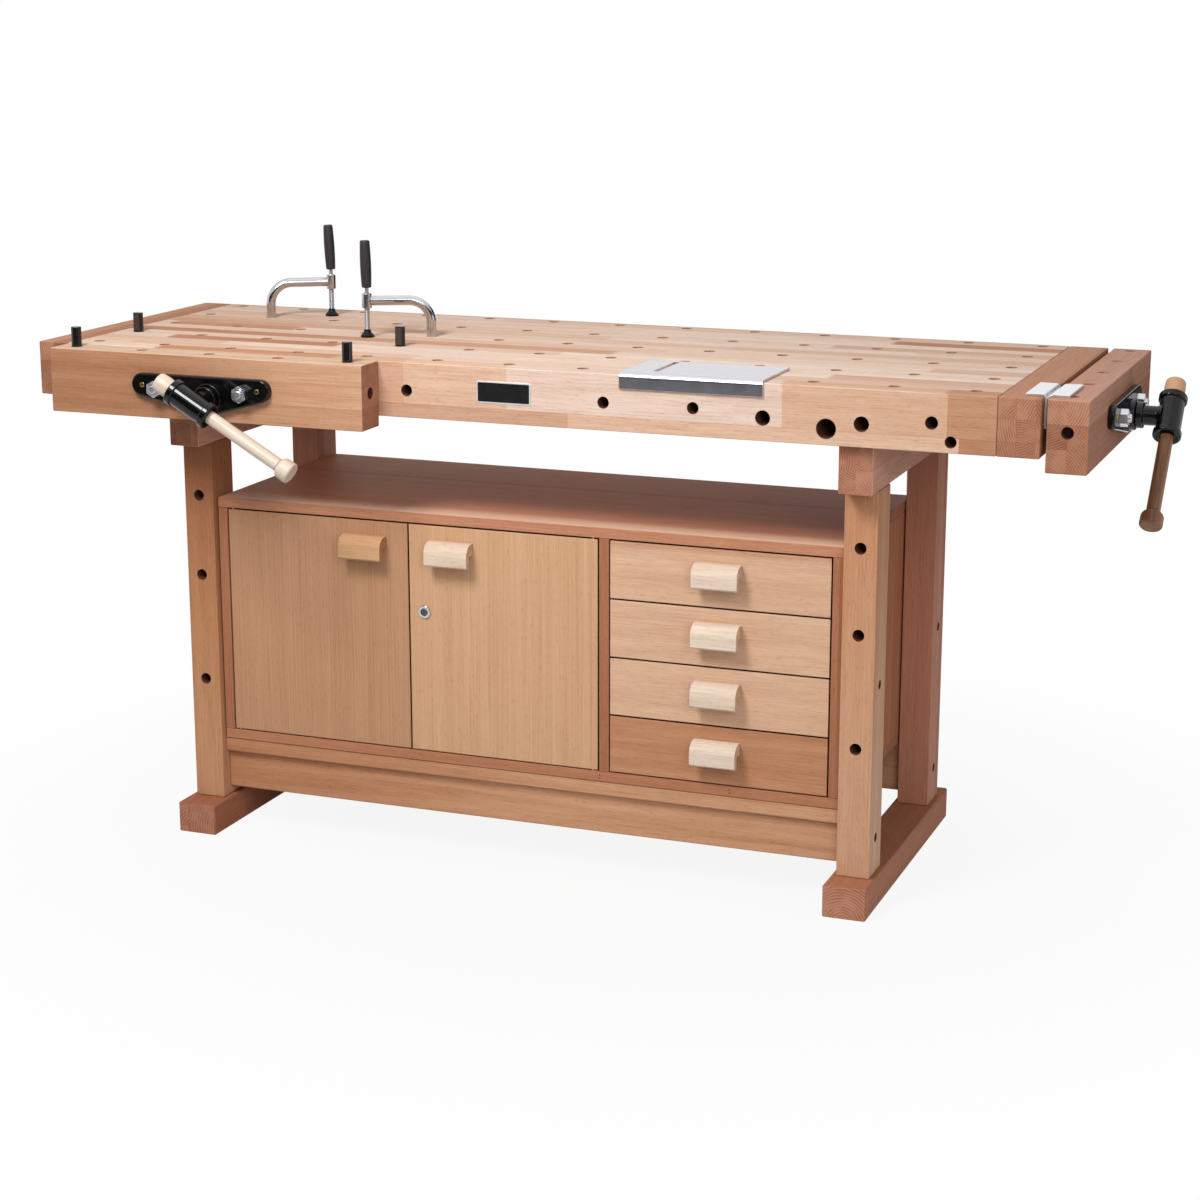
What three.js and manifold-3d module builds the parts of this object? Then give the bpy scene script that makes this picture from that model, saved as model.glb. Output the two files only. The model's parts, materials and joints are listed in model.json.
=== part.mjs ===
// A joiner's workbench in beech: a laminated top with two vises, bench dogs and two
// holdfasts, on a trestle base that carries a cabinet with doors and drawers.
// Millimetres, +Z up. X runs along the bench, Y from its front to its back.
import * as THREE from "three";
import { mergeVertices } from "three/addons/utils/BufferGeometryUtils.js";
import Module from "manifold-3d";

const wasm = await Module();
wasm.setup();

// Fits
const seam = 0.3; // glue line or seat between two pieces that touch
const slip = 0.5; // all round a pin, rod or dog in its hole
const past = 1; // how far a cutter, or a piece that is joined on, goes past a face

// Top
const topHeight = 900;
const topDepth = 598;
const slabLength = 1679;
const slabThickness = 42;
const apronHeight = 95;
const frontApronThickness = 85;
const rearApronThickness = 56;
const leftCapWidth = 60;
const rightCapWidth = 68;
const tongueLength = 20;
const tongueThickness = 14;
const timberEase = 2;

// Dog holes
const dogHoleDiameter = 19;
const dogPitch = 133;
const dogRows = 5;
const dogColumns = 13;
const firstRowSetback = 42.5;
const lastColumnSetback = 43.3;
const roundSides = 12;
const smoothSides = 16;

// Peg holes in the front apron: distance from the left end, depth below the top, diameter
const apronPegs = [
  { x: 726, drop: 48, diameter: 19 },
  { x: 1083, drop: 48, diameter: 19 },
  { x: 1239, drop: 48, diameter: 19 },
  { x: 1358, drop: 57, diameter: 24 },
  { x: 1464, drop: 68, diameter: 32 },
  { x: 1522, drop: 57, diameter: 24 },
  { x: 1635.5, drop: 48, diameter: 20 },
  { x: 1667, drop: 77, diameter: 18 },
];
const apronPegDepth = 70;
const endPegDiameter = 19;
const endPegDepth = 28;
const endPegDrop = 51;

// Vise jaws
const frontJawLength = 609;
const frontJawThickness = 65;
const frontJawHeight = 112.5;
const frontJawStart = 64.5;
const frontJawGap = 0.5;
const tailJawThickness = 65.5;
const tailJawHeight = 116;
const tailJawGap = 9.2;
const viseTravel = 150;

// Vise hardware, the same on both vises; drops are measured from the working face
const rodDiameter = 20;
const rodSpacing = 166;
const rodDrop = 58;
const rodNutAcross = 24;
const rodNutHeight = 14;
const rodTipDiameter = 14;
const rodTipHeight = 5;
const screwDiameter = 22;
const screwDrop = 69;
const screwOffset = 20;
const boreSlip = 0.8;
const plateLength = 268;
const plateThickness = 12;
const plateEndRadius = 20;
const plateEndDrop = 53;
const plateHubRadius = 30;
const plateBevel = 2;
const bossDiameter = 52;
const bossHeight = 10;
const collarDiameter = 44;
const collarHeight = 12;
const neckDiameter = 33;
const hubReach = 77;
const crossTubeDiameter = 41;
const crossTubeLength = 83;
const crossRingDiameter = 47;
const crossRingWidth = 12;
const bracketThickness = 22;
const bracketMargin = 24;
const bracketRise = 1;

// Turned bars of the vise handles
const barDiameter = 23;
const barHeadDiameter = 35;
const barHeadLength = 30;
const barKnobDiameter = 38;
const barKnobLength = 28;
const barFreeLength = 148;
const barRounding = 6;
const frontBarAngle = -30;
const tailBarAngle = -135;

// Jaw plates of the tail vise and the loose plate on the front edge
const jawPlateThickness = 4;
const jawPlateLength = 118;
const jawPlateFlange = 30;
const jawPlateSkirt = 50;
const jawPlateSetback = 22;
const benchPlateLength = 246;
const benchPlateDepth = 148;
const benchPlateThickness = 4;
const benchPlateLip = 23;
const benchPlateStart = 1112;
const benchPlateSlotWidth = 9;
const benchPlateSlotStart = 32;
const benchPlateSlotEnd = 134;

// Trestles
const legWidth = 57.5;
const legDepth = 75;
const leftTrestle = 278;
const trestleSpacing = 1231;
const frontLegSetback = 64;
const rearLegInset = 43;
const legPegDrops = [274, 421, 617];
const legBoltHeights = [120, 388];
const legBoltDiameter = 15;
const legBoltDepth = 12;
const bearerHeight = 81.5;
const bearerSetback = 20;
const bearerRearInset = 6;
const footWidth = 75;
const footHeight = 56.5;
const footSetback = 12;
const footRearReach = 1;
const tenonThickness = 20;
const tenonWidth = 45;
const tenonLength = 38;
const stretcherThickness = 26;
const stretcherHeight = 97;
const stretcherBottom = 72.5;
const battenHeight = 26;
const battenSetback = 1.5;

// Cabinet
const cabinetLegGap = 2.5;
const cabinetSetback = 77;
const cabinetDepth = 463;
const panelThickness = 18;
const panelEase = 1;
const backThickness = 8;
const cabinetTopHeight = 622.5;
const doorThickness = 18;
const reveal = 2.5;
const doorsWidth = 719;
const pivotDiameter = 8;
const pivotLength = 8;
const pivotEdge = 9;
const pivotBehindFace = 5;

// Drawers
const drawerCount = 4;
const drawerWall = 12;
const drawerBottom = 6;
const drawerBoxDepth = 400;
const drawerSideGap = 3;
const drawerBoxLift = 14;
const drawerBoxDrop = 12;
const runnerWidth = 13;
const runnerHeight = 10;

// Wooden pulls
const pullWidth = 82;
const pullHeight = 42;
const pullDepth = 29;
const pullLip = 13;
const pullNotchHeight = 20;
const pullCrown = 21;
const pullChamfer = 3;
const doorPullDrop = 67;
const doorPullInset = 82;
const drawerPullRaise = 6;

// Cam lock of the right-hand door
const lockFaceDiameter = 20;
const lockFaceHeight = 3;
const lockBarrelDiameter = 15;
const lockEdge = 29;
const lockDrop = 177;
const lockKeyway = 2.4;
const camLength = 22;
const camWidth = 10;
const camThickness = 3;

// Bench dogs
const dogDiameter = 18;
const dogLength = 108;
const dogProud = 35;
const dogFlatDepth = 3;
const dogFlatHeight = 34;
const dogColumnsUsed = [8, 12];
const dogRowUsed = 1;

// Holdfasts
const postDiameter = 17.6;
const postBelow = 70;
const armHeight = 66;
const armReach = 116;
const armBend = 40;
const armSteps = 18;
const quarterCircle = 0.55; // pull of a cubic curve that is nearly a quarter circle
const armBossDiameter = 18;
const armBossHeight = 27;
const spindleDiameter = 10;
const padDiameter = 25;
const padNeckDiameter = 12.5;
const padHeight = 14;
const padSocket = 5;
const padRim = 3;
const padConeTop = 8.4;
const padEase = 1;
const gripDiameter = 20;
const gripLength = 85;
const gripStem = 10;
const gripStemDiameter = 7;
const gripEase = 2;
const gripBarrel = 1;
const holdfasts = [
  { name: "left_holdfast", column: 11, row: 3, heading: 32 },
  { name: "right_holdfast", column: 8, row: 2, heading: 205.6 },
];

// Finishes
const finish = (color, roughness, metalness = 0) =>
  new THREE.MeshStandardMaterial({ color, roughness, metalness });
const beech = finish("#c99b72", 0.5);
const redBeech = finish("#b57f58", 0.5);
const paleBeech = finish("#d3a67a", 0.5);
const turnedWood = finish("#e6cfae", 0.45);
const blackEnamel = finish("#0c0c0d", 0.2);
const chrome = finish("#c9cacc", 0.2, 1);
const steel = finish("#a8a9ad", 0.35, 1);
const aluminium = finish("#d4d5d9", 0.35, 1);
const blackPlastic = finish("#1c1a1b", 0.55);

// Solids
const { Vector2, Vector3, Matrix4 } = THREE;

function solidOf(geometry) {
  const bare = geometry.clone();
  bare.deleteAttribute("normal");
  bare.deleteAttribute("uv");
  const merged = mergeVertices(bare, 1e-4);
  return new wasm.Manifold(
    new wasm.Mesh({
      numProp: 3,
      vertProperties: merged.attributes.position.array,
      triVerts: new Uint32Array(merged.index.array),
    }),
  );
}

function geometryOf(solid) {
  const mesh = solid.getMesh();
  const shared = new THREE.BufferGeometry();
  shared.setAttribute("position", new THREE.BufferAttribute(mesh.vertProperties, 3));
  shared.setIndex(new THREE.BufferAttribute(mesh.triVerts, 1));
  const flat = shared.toNonIndexed();
  flat.computeVertexNormals();
  return flat;
}

const join = (...solids) => solids.reduce((a, b) => a.add(b));
const cut = (body, ...tools) => tools.reduce((a, b) => a.subtract(b), body);

function piece(parent, name, solid, material) {
  const mesh = new THREE.Mesh(geometryOf(solid), material);
  mesh.name = name;
  parent.add(mesh);
  return mesh;
}

// A plain box between two corners.
function block(low, high) {
  const size = high.map((v, i) => v - low[i]);
  const box = new THREE.BoxGeometry(...size);
  return solidOf(box.translate(...low.map((v, i) => v + size[i] / 2)));
}

// A planed timber between two corners, with all its edges eased.
function timber(low, high, ease = timberEase) {
  const size = high.map((v, i) => v - low[i]);
  const along = size.indexOf(Math.max(...size));
  const [across, up] = [size[(along + 1) % 3], size[(along + 2) % 3]];
  const section = new THREE.Shape([
    new Vector2(ease, 0),
    new Vector2(across - ease, 0),
    new Vector2(across, ease),
    new Vector2(across, up - ease),
    new Vector2(across - ease, up),
    new Vector2(ease, up),
    new Vector2(0, up - ease),
    new Vector2(0, ease),
  ]);
  const bar = new THREE.ExtrudeGeometry(section, {
    depth: size[along] - 2 * ease,
    bevelThickness: ease,
    bevelSize: ease / 2,
    bevelOffset: -ease / 2,
    bevelSegments: 1,
  });
  const axes = [0, 1, 2].map((i) => new Vector3(...[0, 1, 2].map((j) => +(j === i))));
  const turn = new Matrix4().makeBasis(
    axes[(along + 1) % 3],
    axes[(along + 2) % 3],
    axes[along],
  );
  bar.translate(0, 0, ease).applyMatrix4(turn);
  return solidOf(bar.translate(...low));
}

// A round bar or bore between two points.
function round(from, to, diameter, sides = roundSides) {
  const [a, b] = [new Vector3(...from), new Vector3(...to)];
  const run = b.clone().sub(a);
  const bar = new THREE.CylinderGeometry(diameter / 2, diameter / 2, run.length(), sides);
  const upright = new Vector3(0, 1, 0);
  const turn = new THREE.Quaternion().setFromUnitVectors(upright, run.clone().normalize());
  bar.applyQuaternion(turn);
  return solidOf(bar.translate(...a.add(b).divideScalar(2).toArray()));
}

// A turned piece on the Z axis, from a profile of [radius, height] that goes upwards.
function turned(profile, sides = smoothSides) {
  const points = profile.map(([radius, height]) => new Vector2(radius, height));
  return new THREE.LatheGeometry(points, sides).rotateX(Math.PI / 2);
}

// The outline that a taut band takes round circles of { x, y, radius }.
function bandRound(circles, steps = 2 * smoothSides) {
  const points = [];
  for (let i = 0; i < steps; i++) {
    const angle = ((i + 0.5) / steps) * 2 * Math.PI;
    const [dx, dy] = [Math.cos(angle), Math.sin(angle)];
    const reach = circles.map((c) => c.x * dx + c.y * dy + c.radius);
    const c = circles[reach.indexOf(Math.max(...reach))];
    points.push(new Vector2(c.x + c.radius * dx, c.y + c.radius * dy));
  }
  return new THREE.Shape(points);
}

const workbench = new THREE.Group();
const bench = new THREE.Group();
workbench.add(bench);

// Places that several pieces share
const apronBottom = topHeight - apronHeight;
const slabBottom = topHeight - slabThickness;
const tongueBottom = topHeight - (slabThickness + tongueThickness) / 2;
const slabLeft = leftCapWidth + seam;
const slabRight = slabLeft + slabLength;
const capLeft = slabRight + seam;
const capRight = capLeft + rightCapWidth;
const tailJawLeft = capRight + tailJawGap;
const tailJawRight = tailJawLeft + tailJawThickness;
const frontJawRight = frontJawStart + frontJawLength;
const frontJawBack = -frontJawGap;
const frontJawFace = frontJawBack - frontJawThickness;
const frontJawMiddle = (frontJawFace + frontJawBack) / 2;
const columnX = (k) => slabRight - lastColumnSetback - k * dogPitch;
const rowY = (row) => firstRowSetback + row * dogPitch;
const rows = Array.from({ length: dogRows }, (_, row) => row);
const columns = Array.from({ length: dogColumns }, (_, k) => k);

// A dog hole down through whatever stands at x, y.
function dogHole(x, y) {
  return round([x, y, 0], [x, y, topHeight + past], dogHoleDiameter);
}

// Each vise has its own frame: X to the right as seen from outside, Y into the bench,
// Z up, with the origin on the jaw's outer face, at the middle, level with the top.
const frontVise = new THREE.Group();
frontVise.position.set((frontJawStart + frontJawRight) / 2, frontJawFace, topHeight);
const tailVise = new THREE.Group();
tailVise.position.set(tailJawRight, topDepth / 2, topHeight);
tailVise.rotation.z = Math.PI / 2;
for (const vise of [frontVise, tailVise]) {
  bench.add(vise);
  vise.updateMatrix();
}
const rodX = rodSpacing / 2;

// The three bores that a vise needs through the wood, in the bench's frame.
function viseBores(vise, reach) {
  const bores = [
    round([-rodX, -past, -rodDrop], [-rodX, reach, -rodDrop], rodDiameter + 2 * boreSlip),
    round([rodX, -past, -rodDrop], [rodX, reach, -rodDrop], rodDiameter + 2 * boreSlip),
    round([screwOffset, -past, -screwDrop], [screwOffset, reach, -screwDrop],
      screwDiameter + 2 * boreSlip, smoothSides),
  ];
  return bores.map((bore) => solidOf(geometryOf(bore).applyMatrix4(vise.matrix)));
}

// Depth of wood from each jaw's outer face to the back of what it closes on
const frontBacking = frontJawThickness + frontJawGap + frontApronThickness;
const tailBacking = tailJawRight - capLeft;
const frontBores = viseBores(frontVise, frontBacking + past);
const tailBores = viseBores(tailVise, tailBacking + past);

// Top: a slab with a front and a rear apron, and a tongue at each end
function benchTop() {
  const slab = timber([slabLeft, 0, slabBottom], [slabRight, topDepth, topHeight]);
  const frontApron = timber([slabLeft, 0, apronBottom],
    [slabRight, frontApronThickness, topHeight]);
  const rearApron = timber([slabLeft, topDepth - rearApronThickness, apronBottom],
    [slabRight, topDepth, topHeight]);
  const tongue = block(
    [slabLeft - tongueLength, frontApronThickness, tongueBottom],
    [slabRight + tongueLength, topDepth - rearApronThickness, tongueBottom + tongueThickness],
  );
  const holes = columns.flatMap((k) => rows.map((row) => dogHole(columnX(k), rowY(row))));
  const pegs = apronPegs.map(({ x, drop, diameter }) =>
    round([x, -past, topHeight - drop], [x, apronPegDepth, topHeight - drop], diameter));
  return cut(join(slab, frontApron, rearApron, tongue), ...holes, ...pegs, ...frontBores);
}

// An end cap, grooved along the face at grooveX for the slab's tongue.
function endCap(left, right, grooveX) {
  const cap = timber([left, 0, apronBottom], [right, topDepth, topHeight]);
  const groove = block(
    [grooveX - tongueLength - slip, frontApronThickness - slip, tongueBottom - slip],
    [grooveX + tongueLength + slip, topDepth - rearApronThickness + slip,
      tongueBottom + tongueThickness + slip],
  );
  return cut(cap, groove);
}
piece(bench, "bench_top", benchTop(), beech);
piece(bench, "left_end_cap", endCap(0, leftCapWidth, leftCapWidth), redBeech);
piece(bench, "right_end_cap", cut(endCap(capLeft, capRight, capLeft), ...tailBores), redBeech);

// Vise jaws: dog holes down through them, a peg hole in one end
function frontJaw() {
  const jaw = timber([frontJawStart, frontJawFace, topHeight - frontJawHeight],
    [frontJawRight, frontJawBack, topHeight]);
  const within = columns.filter((k) => columnX(k) > frontJawStart && columnX(k) < frontJawRight);
  const holes = within.map((k) => dogHole(columnX(k), frontJawMiddle));
  const peg = round([frontJawRight - endPegDepth, frontJawMiddle, topHeight - endPegDrop],
    [frontJawRight + past, frontJawMiddle, topHeight - endPegDrop], endPegDiameter);
  return cut(jaw, ...holes, peg, ...frontBores);
}
function tailJaw() {
  const jaw = timber([tailJawLeft, 0, topHeight - tailJawHeight],
    [tailJawRight, topDepth, topHeight]);
  const middle = (tailJawLeft + tailJawRight) / 2;
  const holes = rows.map((row) => dogHole(middle, rowY(row)));
  const peg = round([middle, -past, topHeight - endPegDrop],
    [middle, endPegDepth, topHeight - endPegDrop], endPegDiameter);
  return cut(jaw, ...holes, peg, ...tailBores);
}
piece(bench, "front_vise_jaw", frontJaw(), beech);
piece(bench, "tail_vise_jaw", tailJaw(), redBeech);

// Cast plate on the jaw's face: a band round its two ends and its hub, with a boss
function visePlate() {
  const endX = plateLength / 2 - plateEndRadius;
  const outline = bandRound([
    { x: -endX, y: -plateEndDrop, radius: plateEndRadius },
    { x: endX, y: -plateEndDrop, radius: plateEndRadius },
    { x: screwOffset, y: -screwDrop, radius: plateHubRadius },
  ]);
  const casting = new THREE.ExtrudeGeometry(outline, {
    depth: plateThickness - plateBevel,
    bevelThickness: plateBevel,
    bevelSize: plateBevel,
    bevelOffset: -plateBevel,
    bevelSegments: 1,
  }).rotateX(Math.PI / 2);
  casting.translate(0, -seam, 0);
  const back = block([-plateLength, -seam, -topHeight], [plateLength, plateThickness, topHeight]);
  const face = -seam - plateThickness;
  const boss = round([screwOffset, face - bossHeight, -screwDrop],
    [screwOffset, face + plateBevel, -screwDrop], bossDiameter, smoothSides);
  const bores = [-rodX, rodX].map((x) =>
    round([x, face - past, -rodDrop], [x, past, -rodDrop], rodDiameter + 2 * slip));
  const screwBore = round([screwOffset, face - bossHeight - past, -screwDrop],
    [screwOffset, past, -screwDrop], screwDiameter + 2 * boreSlip, smoothSides);
  return cut(join(solidOf(casting), boss), back, ...bores, screwBore);
}

// Guide rod with the hex nut that clamps it to the plate
function guideRod(x, reach) {
  const nutBack = -seam - plateThickness - seam;
  const nutFace = nutBack - rodNutHeight;
  const rod = round([x, nutFace, -rodDrop], [x, reach, -rodDrop], rodDiameter);
  const nut = round([x, nutFace, -rodDrop], [x, nutBack, -rodDrop],
    rodNutAcross / Math.cos(Math.PI / 6), 6);
  const tip = round([x, nutFace - rodTipHeight, -rodDrop], [x, nutFace + past, -rodDrop],
    rodTipDiameter);
  return join(rod, nut, tip);
}

const bossFace = -seam - plateThickness - bossHeight;
const alongBar = (angle) => new Vector3(Math.cos(angle), 0, Math.sin(angle));

// Screw, collar, neck and the cross tube that holds the bar, in one
function viseScrew(angle, reach) {
  const at = (y) => [screwOffset, y, -screwDrop];
  const centre = new Vector3(screwOffset, -hubReach, -screwDrop);
  const out = alongBar(angle);
  const onBar = (distance) => centre.clone().addScaledVector(out, distance).toArray();
  const half = crossTubeLength / 2;
  const collarBack = bossFace - seam;
  const collarFace = collarBack - collarHeight;
  const screw = round(at(collarBack - past), at(reach), screwDiameter, smoothSides);
  const collar = round(at(collarFace), at(collarBack), collarDiameter, smoothSides);
  const neck = round(at(-hubReach), at(collarBack - past), neckDiameter, roundSides);
  const tube = round(onBar(-half), onBar(half), crossTubeDiameter, smoothSides);
  const rings = [-1, 1].map((side) => round(onBar(side * (half - crossRingWidth)),
    onBar(side * half), crossRingDiameter, smoothSides));
  const bore = round(onBar(-half - past), onBar(half + past), barDiameter + 2 * slip, smoothSides);
  return cut(join(screw, collar, neck, tube, ...rings), bore);
}

// Turned bar: a head that stops it in the cross tube, and a knob at its free end
function viseBar(angle) {
  const head = -crossTubeLength / 2 - seam;
  const knob = crossTubeLength / 2 + barFreeLength;
  const r = barRounding;
  const bar = turned([
    [0, head - barHeadLength],
    [barHeadDiameter / 2 - r, head - barHeadLength],
    [barHeadDiameter / 2, head - barHeadLength + r],
    [barHeadDiameter / 2, head],
    [barDiameter / 2, head],
    [barDiameter / 2, knob],
    [barKnobDiameter / 2 - r / 2, knob],
    [barKnobDiameter / 2, knob + r],
    [barKnobDiameter / 2, knob + barKnobLength - r],
    [barKnobDiameter / 2 - r, knob + barKnobLength],
    [0, knob + barKnobLength],
  ]);
  bar.applyQuaternion(
    new THREE.Quaternion().setFromUnitVectors(new Vector3(0, 0, 1), alongBar(angle)),
  );
  return solidOf(bar.translate(screwOffset, -hubReach, -screwDrop));
}

// Bracket under the top, behind the apron or the end cap, with the screw's nut in it
function nutBracket(face) {
  const body = timber([-rodX - bracketMargin, face + seam, -apronHeight + bracketRise],
    [rodX + bracketMargin, face + seam + bracketThickness, -slabThickness - seam]);
  const [from, to] = [face, face + 2 * bracketThickness];
  const bores = [-rodX, rodX].map((x) =>
    round([x, from, -rodDrop], [x, to, -rodDrop], rodDiameter + 2 * slip));
  const nut = round([screwOffset, from, -screwDrop], [screwOffset, to, -screwDrop],
    screwDiameter + 2 * slip, smoothSides);
  return cut(body, ...bores, nut);
}

// One set of hardware, from the jaw's face to past the wood that backs it.
function viseHardware(vise, name, sides, backing, barAngle) {
  const angle = THREE.MathUtils.degToRad(barAngle);
  const reach = backing + 2 * bracketThickness + viseTravel;
  piece(vise, `${name}_plate`, visePlate(), blackEnamel);
  piece(vise, `${name}_${sides[0]}_rod`, guideRod(-rodX, reach), chrome);
  piece(vise, `${name}_${sides[1]}_rod`, guideRod(rodX, reach), chrome);
  piece(vise, `${name}_screw`, viseScrew(angle, reach), blackEnamel);
  piece(vise, `${name}_bar`, viseBar(angle), turnedWood);
  piece(vise, `${name}_nut_bracket`, nutBracket(backing), steel);
}
viseHardware(frontVise, "front_vise", ["left", "right"], frontBacking, frontBarAngle);
viseHardware(tailVise, "tail_vise", ["front", "rear"], tailBacking, tailBarAngle);

// Angle plates that line the tail vise, one over the end cap and one over the jaw
function jawPlate(seatX, side) {
  const [yLow, yHigh] = [jawPlateSetback, jawPlateSetback + jawPlateLength];
  const skirtX = [seatX + side * seam, seatX + side * (seam + jawPlateThickness)];
  const flangeX = [skirtX[1], seatX - side * jawPlateFlange];
  const span = (pair) => [Math.min(...pair), Math.max(...pair)];
  const [skirt, flange] = [span(skirtX), span(flangeX)];
  const face = topHeight + seam;
  return join(
    block([skirt[0], yLow, topHeight - jawPlateSkirt],
      [skirt[1], yHigh, face + jawPlateThickness]),
    block([flange[0], yLow, face], [flange[1], yHigh, face + jawPlateThickness]),
  );
}
piece(bench, "end_cap_jaw_plate", jawPlate(capRight, 1), aluminium);
piece(bench, "tail_vise_jaw_plate", jawPlate(tailJawLeft, -1), aluminium);

// Loose plate hooked over the front edge, with a slot in line with a column of dog holes
function benchPlate() {
  const face = topHeight + seam;
  const benchPlateEnd = benchPlateStart + benchPlateLength;
  const top = block([benchPlateStart, -seam - benchPlateThickness, face],
    [benchPlateEnd, benchPlateDepth, face + benchPlateThickness]);
  const lip = block([benchPlateStart, -seam - benchPlateThickness, face - benchPlateLip],
    [benchPlateEnd, -seam, face + benchPlateThickness]);
  const slotX = Math.min(...columns.map(columnX).filter((x) => x > benchPlateStart));
  const slot = bandRound([
    { x: slotX, y: benchPlateSlotStart, radius: benchPlateSlotWidth / 2 },
    { x: slotX, y: benchPlateSlotEnd, radius: benchPlateSlotWidth / 2 },
  ], roundSides);
  const slotCut = new THREE.ExtrudeGeometry(slot, {
    depth: 3 * benchPlateThickness,
    bevelEnabled: false,
  }).translate(0, 0, face - benchPlateThickness);
  return cut(join(top, lip), solidOf(slotCut));
}
piece(bench, "bench_plate", benchPlate(), aluminium);

// Trestles: a foot, two legs and a bearer at each end
const bearerTop = apronBottom - seam;
const bearerBottom = bearerTop - bearerHeight;
const legBottom = footHeight + seam;
const legTop = bearerBottom - seam;
const legRows = {
  front: [frontLegSetback, frontLegSetback + legDepth],
  rear: [topDepth - rearLegInset - legDepth, topDepth - rearLegInset],
};
const legMiddle = (row) => (legRows[row][0] + legRows[row][1]) / 2;
const trestles = [
  { side: "left", x: leftTrestle, outward: -1 },
  { side: "right", x: leftTrestle + trestleSpacing, outward: 1 },
];
const innerLegFace = [
  leftTrestle + legWidth / 2,
  leftTrestle + trestleSpacing - legWidth / 2,
];

// A tenon at the end of a leg, or its mortise when it is given a clearance.
function tenon(x, y, low, high, clearance = 0) {
  return block(
    [x - tenonThickness / 2 - clearance, y - tenonWidth / 2 - clearance, low],
    [x + tenonThickness / 2 + clearance, y + tenonWidth / 2 + clearance, high],
  );
}

function leg(x, outward, row) {
  const [front, back] = legRows[row];
  const y = legMiddle(row);
  const post = timber([x - legWidth / 2, front, legBottom], [x + legWidth / 2, back, legTop]);
  const foot = tenon(x, y, legBottom - tenonLength, legBottom + past);
  const head = tenon(x, y, legTop - past, legTop + tenonLength);
  const outer = x + (outward * legWidth) / 2;
  const bolts = legBoltHeights.map((z) =>
    round([outer - outward * legBoltDepth, y, z], [outer + outward * past, y, z], legBoltDiameter));
  const pegs = legPegDrops.map((drop) =>
    round([x, front - past, topHeight - drop], [x, front + legDepth / 2, topHeight - drop],
      dogHoleDiameter));
  return cut(join(post, foot, head), ...bolts, ...(row === "front" ? pegs : []));
}

function foot(x) {
  const body = timber([x - footWidth / 2, footSetback, 0],
    [x + footWidth / 2, topDepth + footRearReach, footHeight]);
  const mortises = Object.keys(legRows).map((row) =>
    tenon(x, legMiddle(row), legBottom - tenonLength - slip, footHeight + past, slip));
  return cut(body, ...mortises);
}

function bearer(x) {
  const body = timber([x - legWidth / 2, bearerSetback, bearerBottom],
    [x + legWidth / 2, topDepth - bearerRearInset, bearerTop]);
  const mortises = Object.keys(legRows).map((row) =>
    tenon(x, legMiddle(row), bearerBottom - past, legTop + tenonLength + slip, slip));
  return cut(body, ...mortises);
}

for (const { side, x, outward } of trestles) {
  piece(bench, `${side}_foot`, foot(x), redBeech);
  piece(bench, `${side}_bearer`, bearer(x), redBeech);
  for (const row of Object.keys(legRows)) {
    piece(bench, `${row}_${side}_leg`, leg(x, outward, row), beech);
  }
}
// The front stretcher has a batten along its upper edge, under the cabinet's front.
function stretcher(row) {
  const left = innerLegFace[0] + seam;
  const right = innerLegFace[1] - seam;
  const middle = legMiddle(row);
  const top = stretcherBottom + stretcherHeight;
  const rail = timber([left, middle - stretcherThickness / 2, stretcherBottom],
    [right, middle + stretcherThickness / 2, top]);
  if (row !== "front") return rail;
  const batten = timber([left, cabinetSetback + battenSetback, top - battenHeight], [right, middle, top]);
  return join(rail, batten);
}

for (const row of Object.keys(legRows)) {
  piece(bench, `${row}_stretcher`, stretcher(row), beech);
}

// Cabinet between the legs, standing on the stretchers
const cabinetLeft = innerLegFace[0] + cabinetLegGap;
const cabinetRight = innerLegFace[1] - cabinetLegGap;
const cabinetFront = cabinetSetback;
const cabinetBack = cabinetFront + cabinetDepth;
const floorBottom = stretcherBottom + stretcherHeight + seam;
const floorTop = floorBottom + panelThickness;
const ceiling = cabinetTopHeight - panelThickness;
const wallBottom = floorTop + seam;
const wallTop = ceiling - seam;
const compartmentLeft = cabinetLeft + panelThickness;
const dividerLeft = compartmentLeft + doorsWidth;
const dividerRight = dividerLeft + panelThickness;
const drawersRight = cabinetRight - panelThickness;
const backFace = cabinetBack - backThickness;
const frontBottom = floorTop + reveal;
const frontTop = ceiling - reveal;

const doorWidth = (doorsWidth - 3 * reveal) / 2;
const doors = [
  { side: "left", x: compartmentLeft + reveal, hinge: 0 },
  { side: "right", x: compartmentLeft + 2 * reveal + doorWidth, hinge: 1 },
];
const pivotX = ({ x, hinge }) => (hinge ? x + doorWidth - pivotEdge : x + pivotEdge);
const pivotY = cabinetFront + pivotBehindFace;

// The pivot pins of a door, or their holes in the panels when given a clearance.
function pivots(door, clearance = 0) {
  const x = pivotX(door);
  const depth = pivotLength + clearance;
  const diameter = pivotDiameter + 2 * clearance;
  return [
    round([x, pivotY, floorTop - depth], [x, pivotY, frontBottom + past], diameter),
    round([x, pivotY, frontTop - past], [x, pivotY, ceiling + depth], diameter),
  ];
}
const pivotHoles = doors.flatMap((door) => pivots(door, slip));

const panel = (low, high) => timber(low, high, panelEase);
piece(bench, "cabinet_top", cut(panel([cabinetLeft, cabinetFront, ceiling],
  [cabinetRight, cabinetBack, cabinetTopHeight]), ...pivotHoles), redBeech);
piece(bench, "cabinet_bottom", cut(panel([cabinetLeft, cabinetFront, floorBottom],
  [cabinetRight, cabinetBack, floorTop]), ...pivotHoles), redBeech);
piece(bench, "cabinet_left_side", panel([cabinetLeft, cabinetFront, wallBottom],
  [compartmentLeft, cabinetBack, wallTop]), redBeech);
piece(bench, "cabinet_back", panel([compartmentLeft + seam, backFace, wallBottom],
  [drawersRight - seam, cabinetBack, wallTop]), paleBeech);

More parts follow.
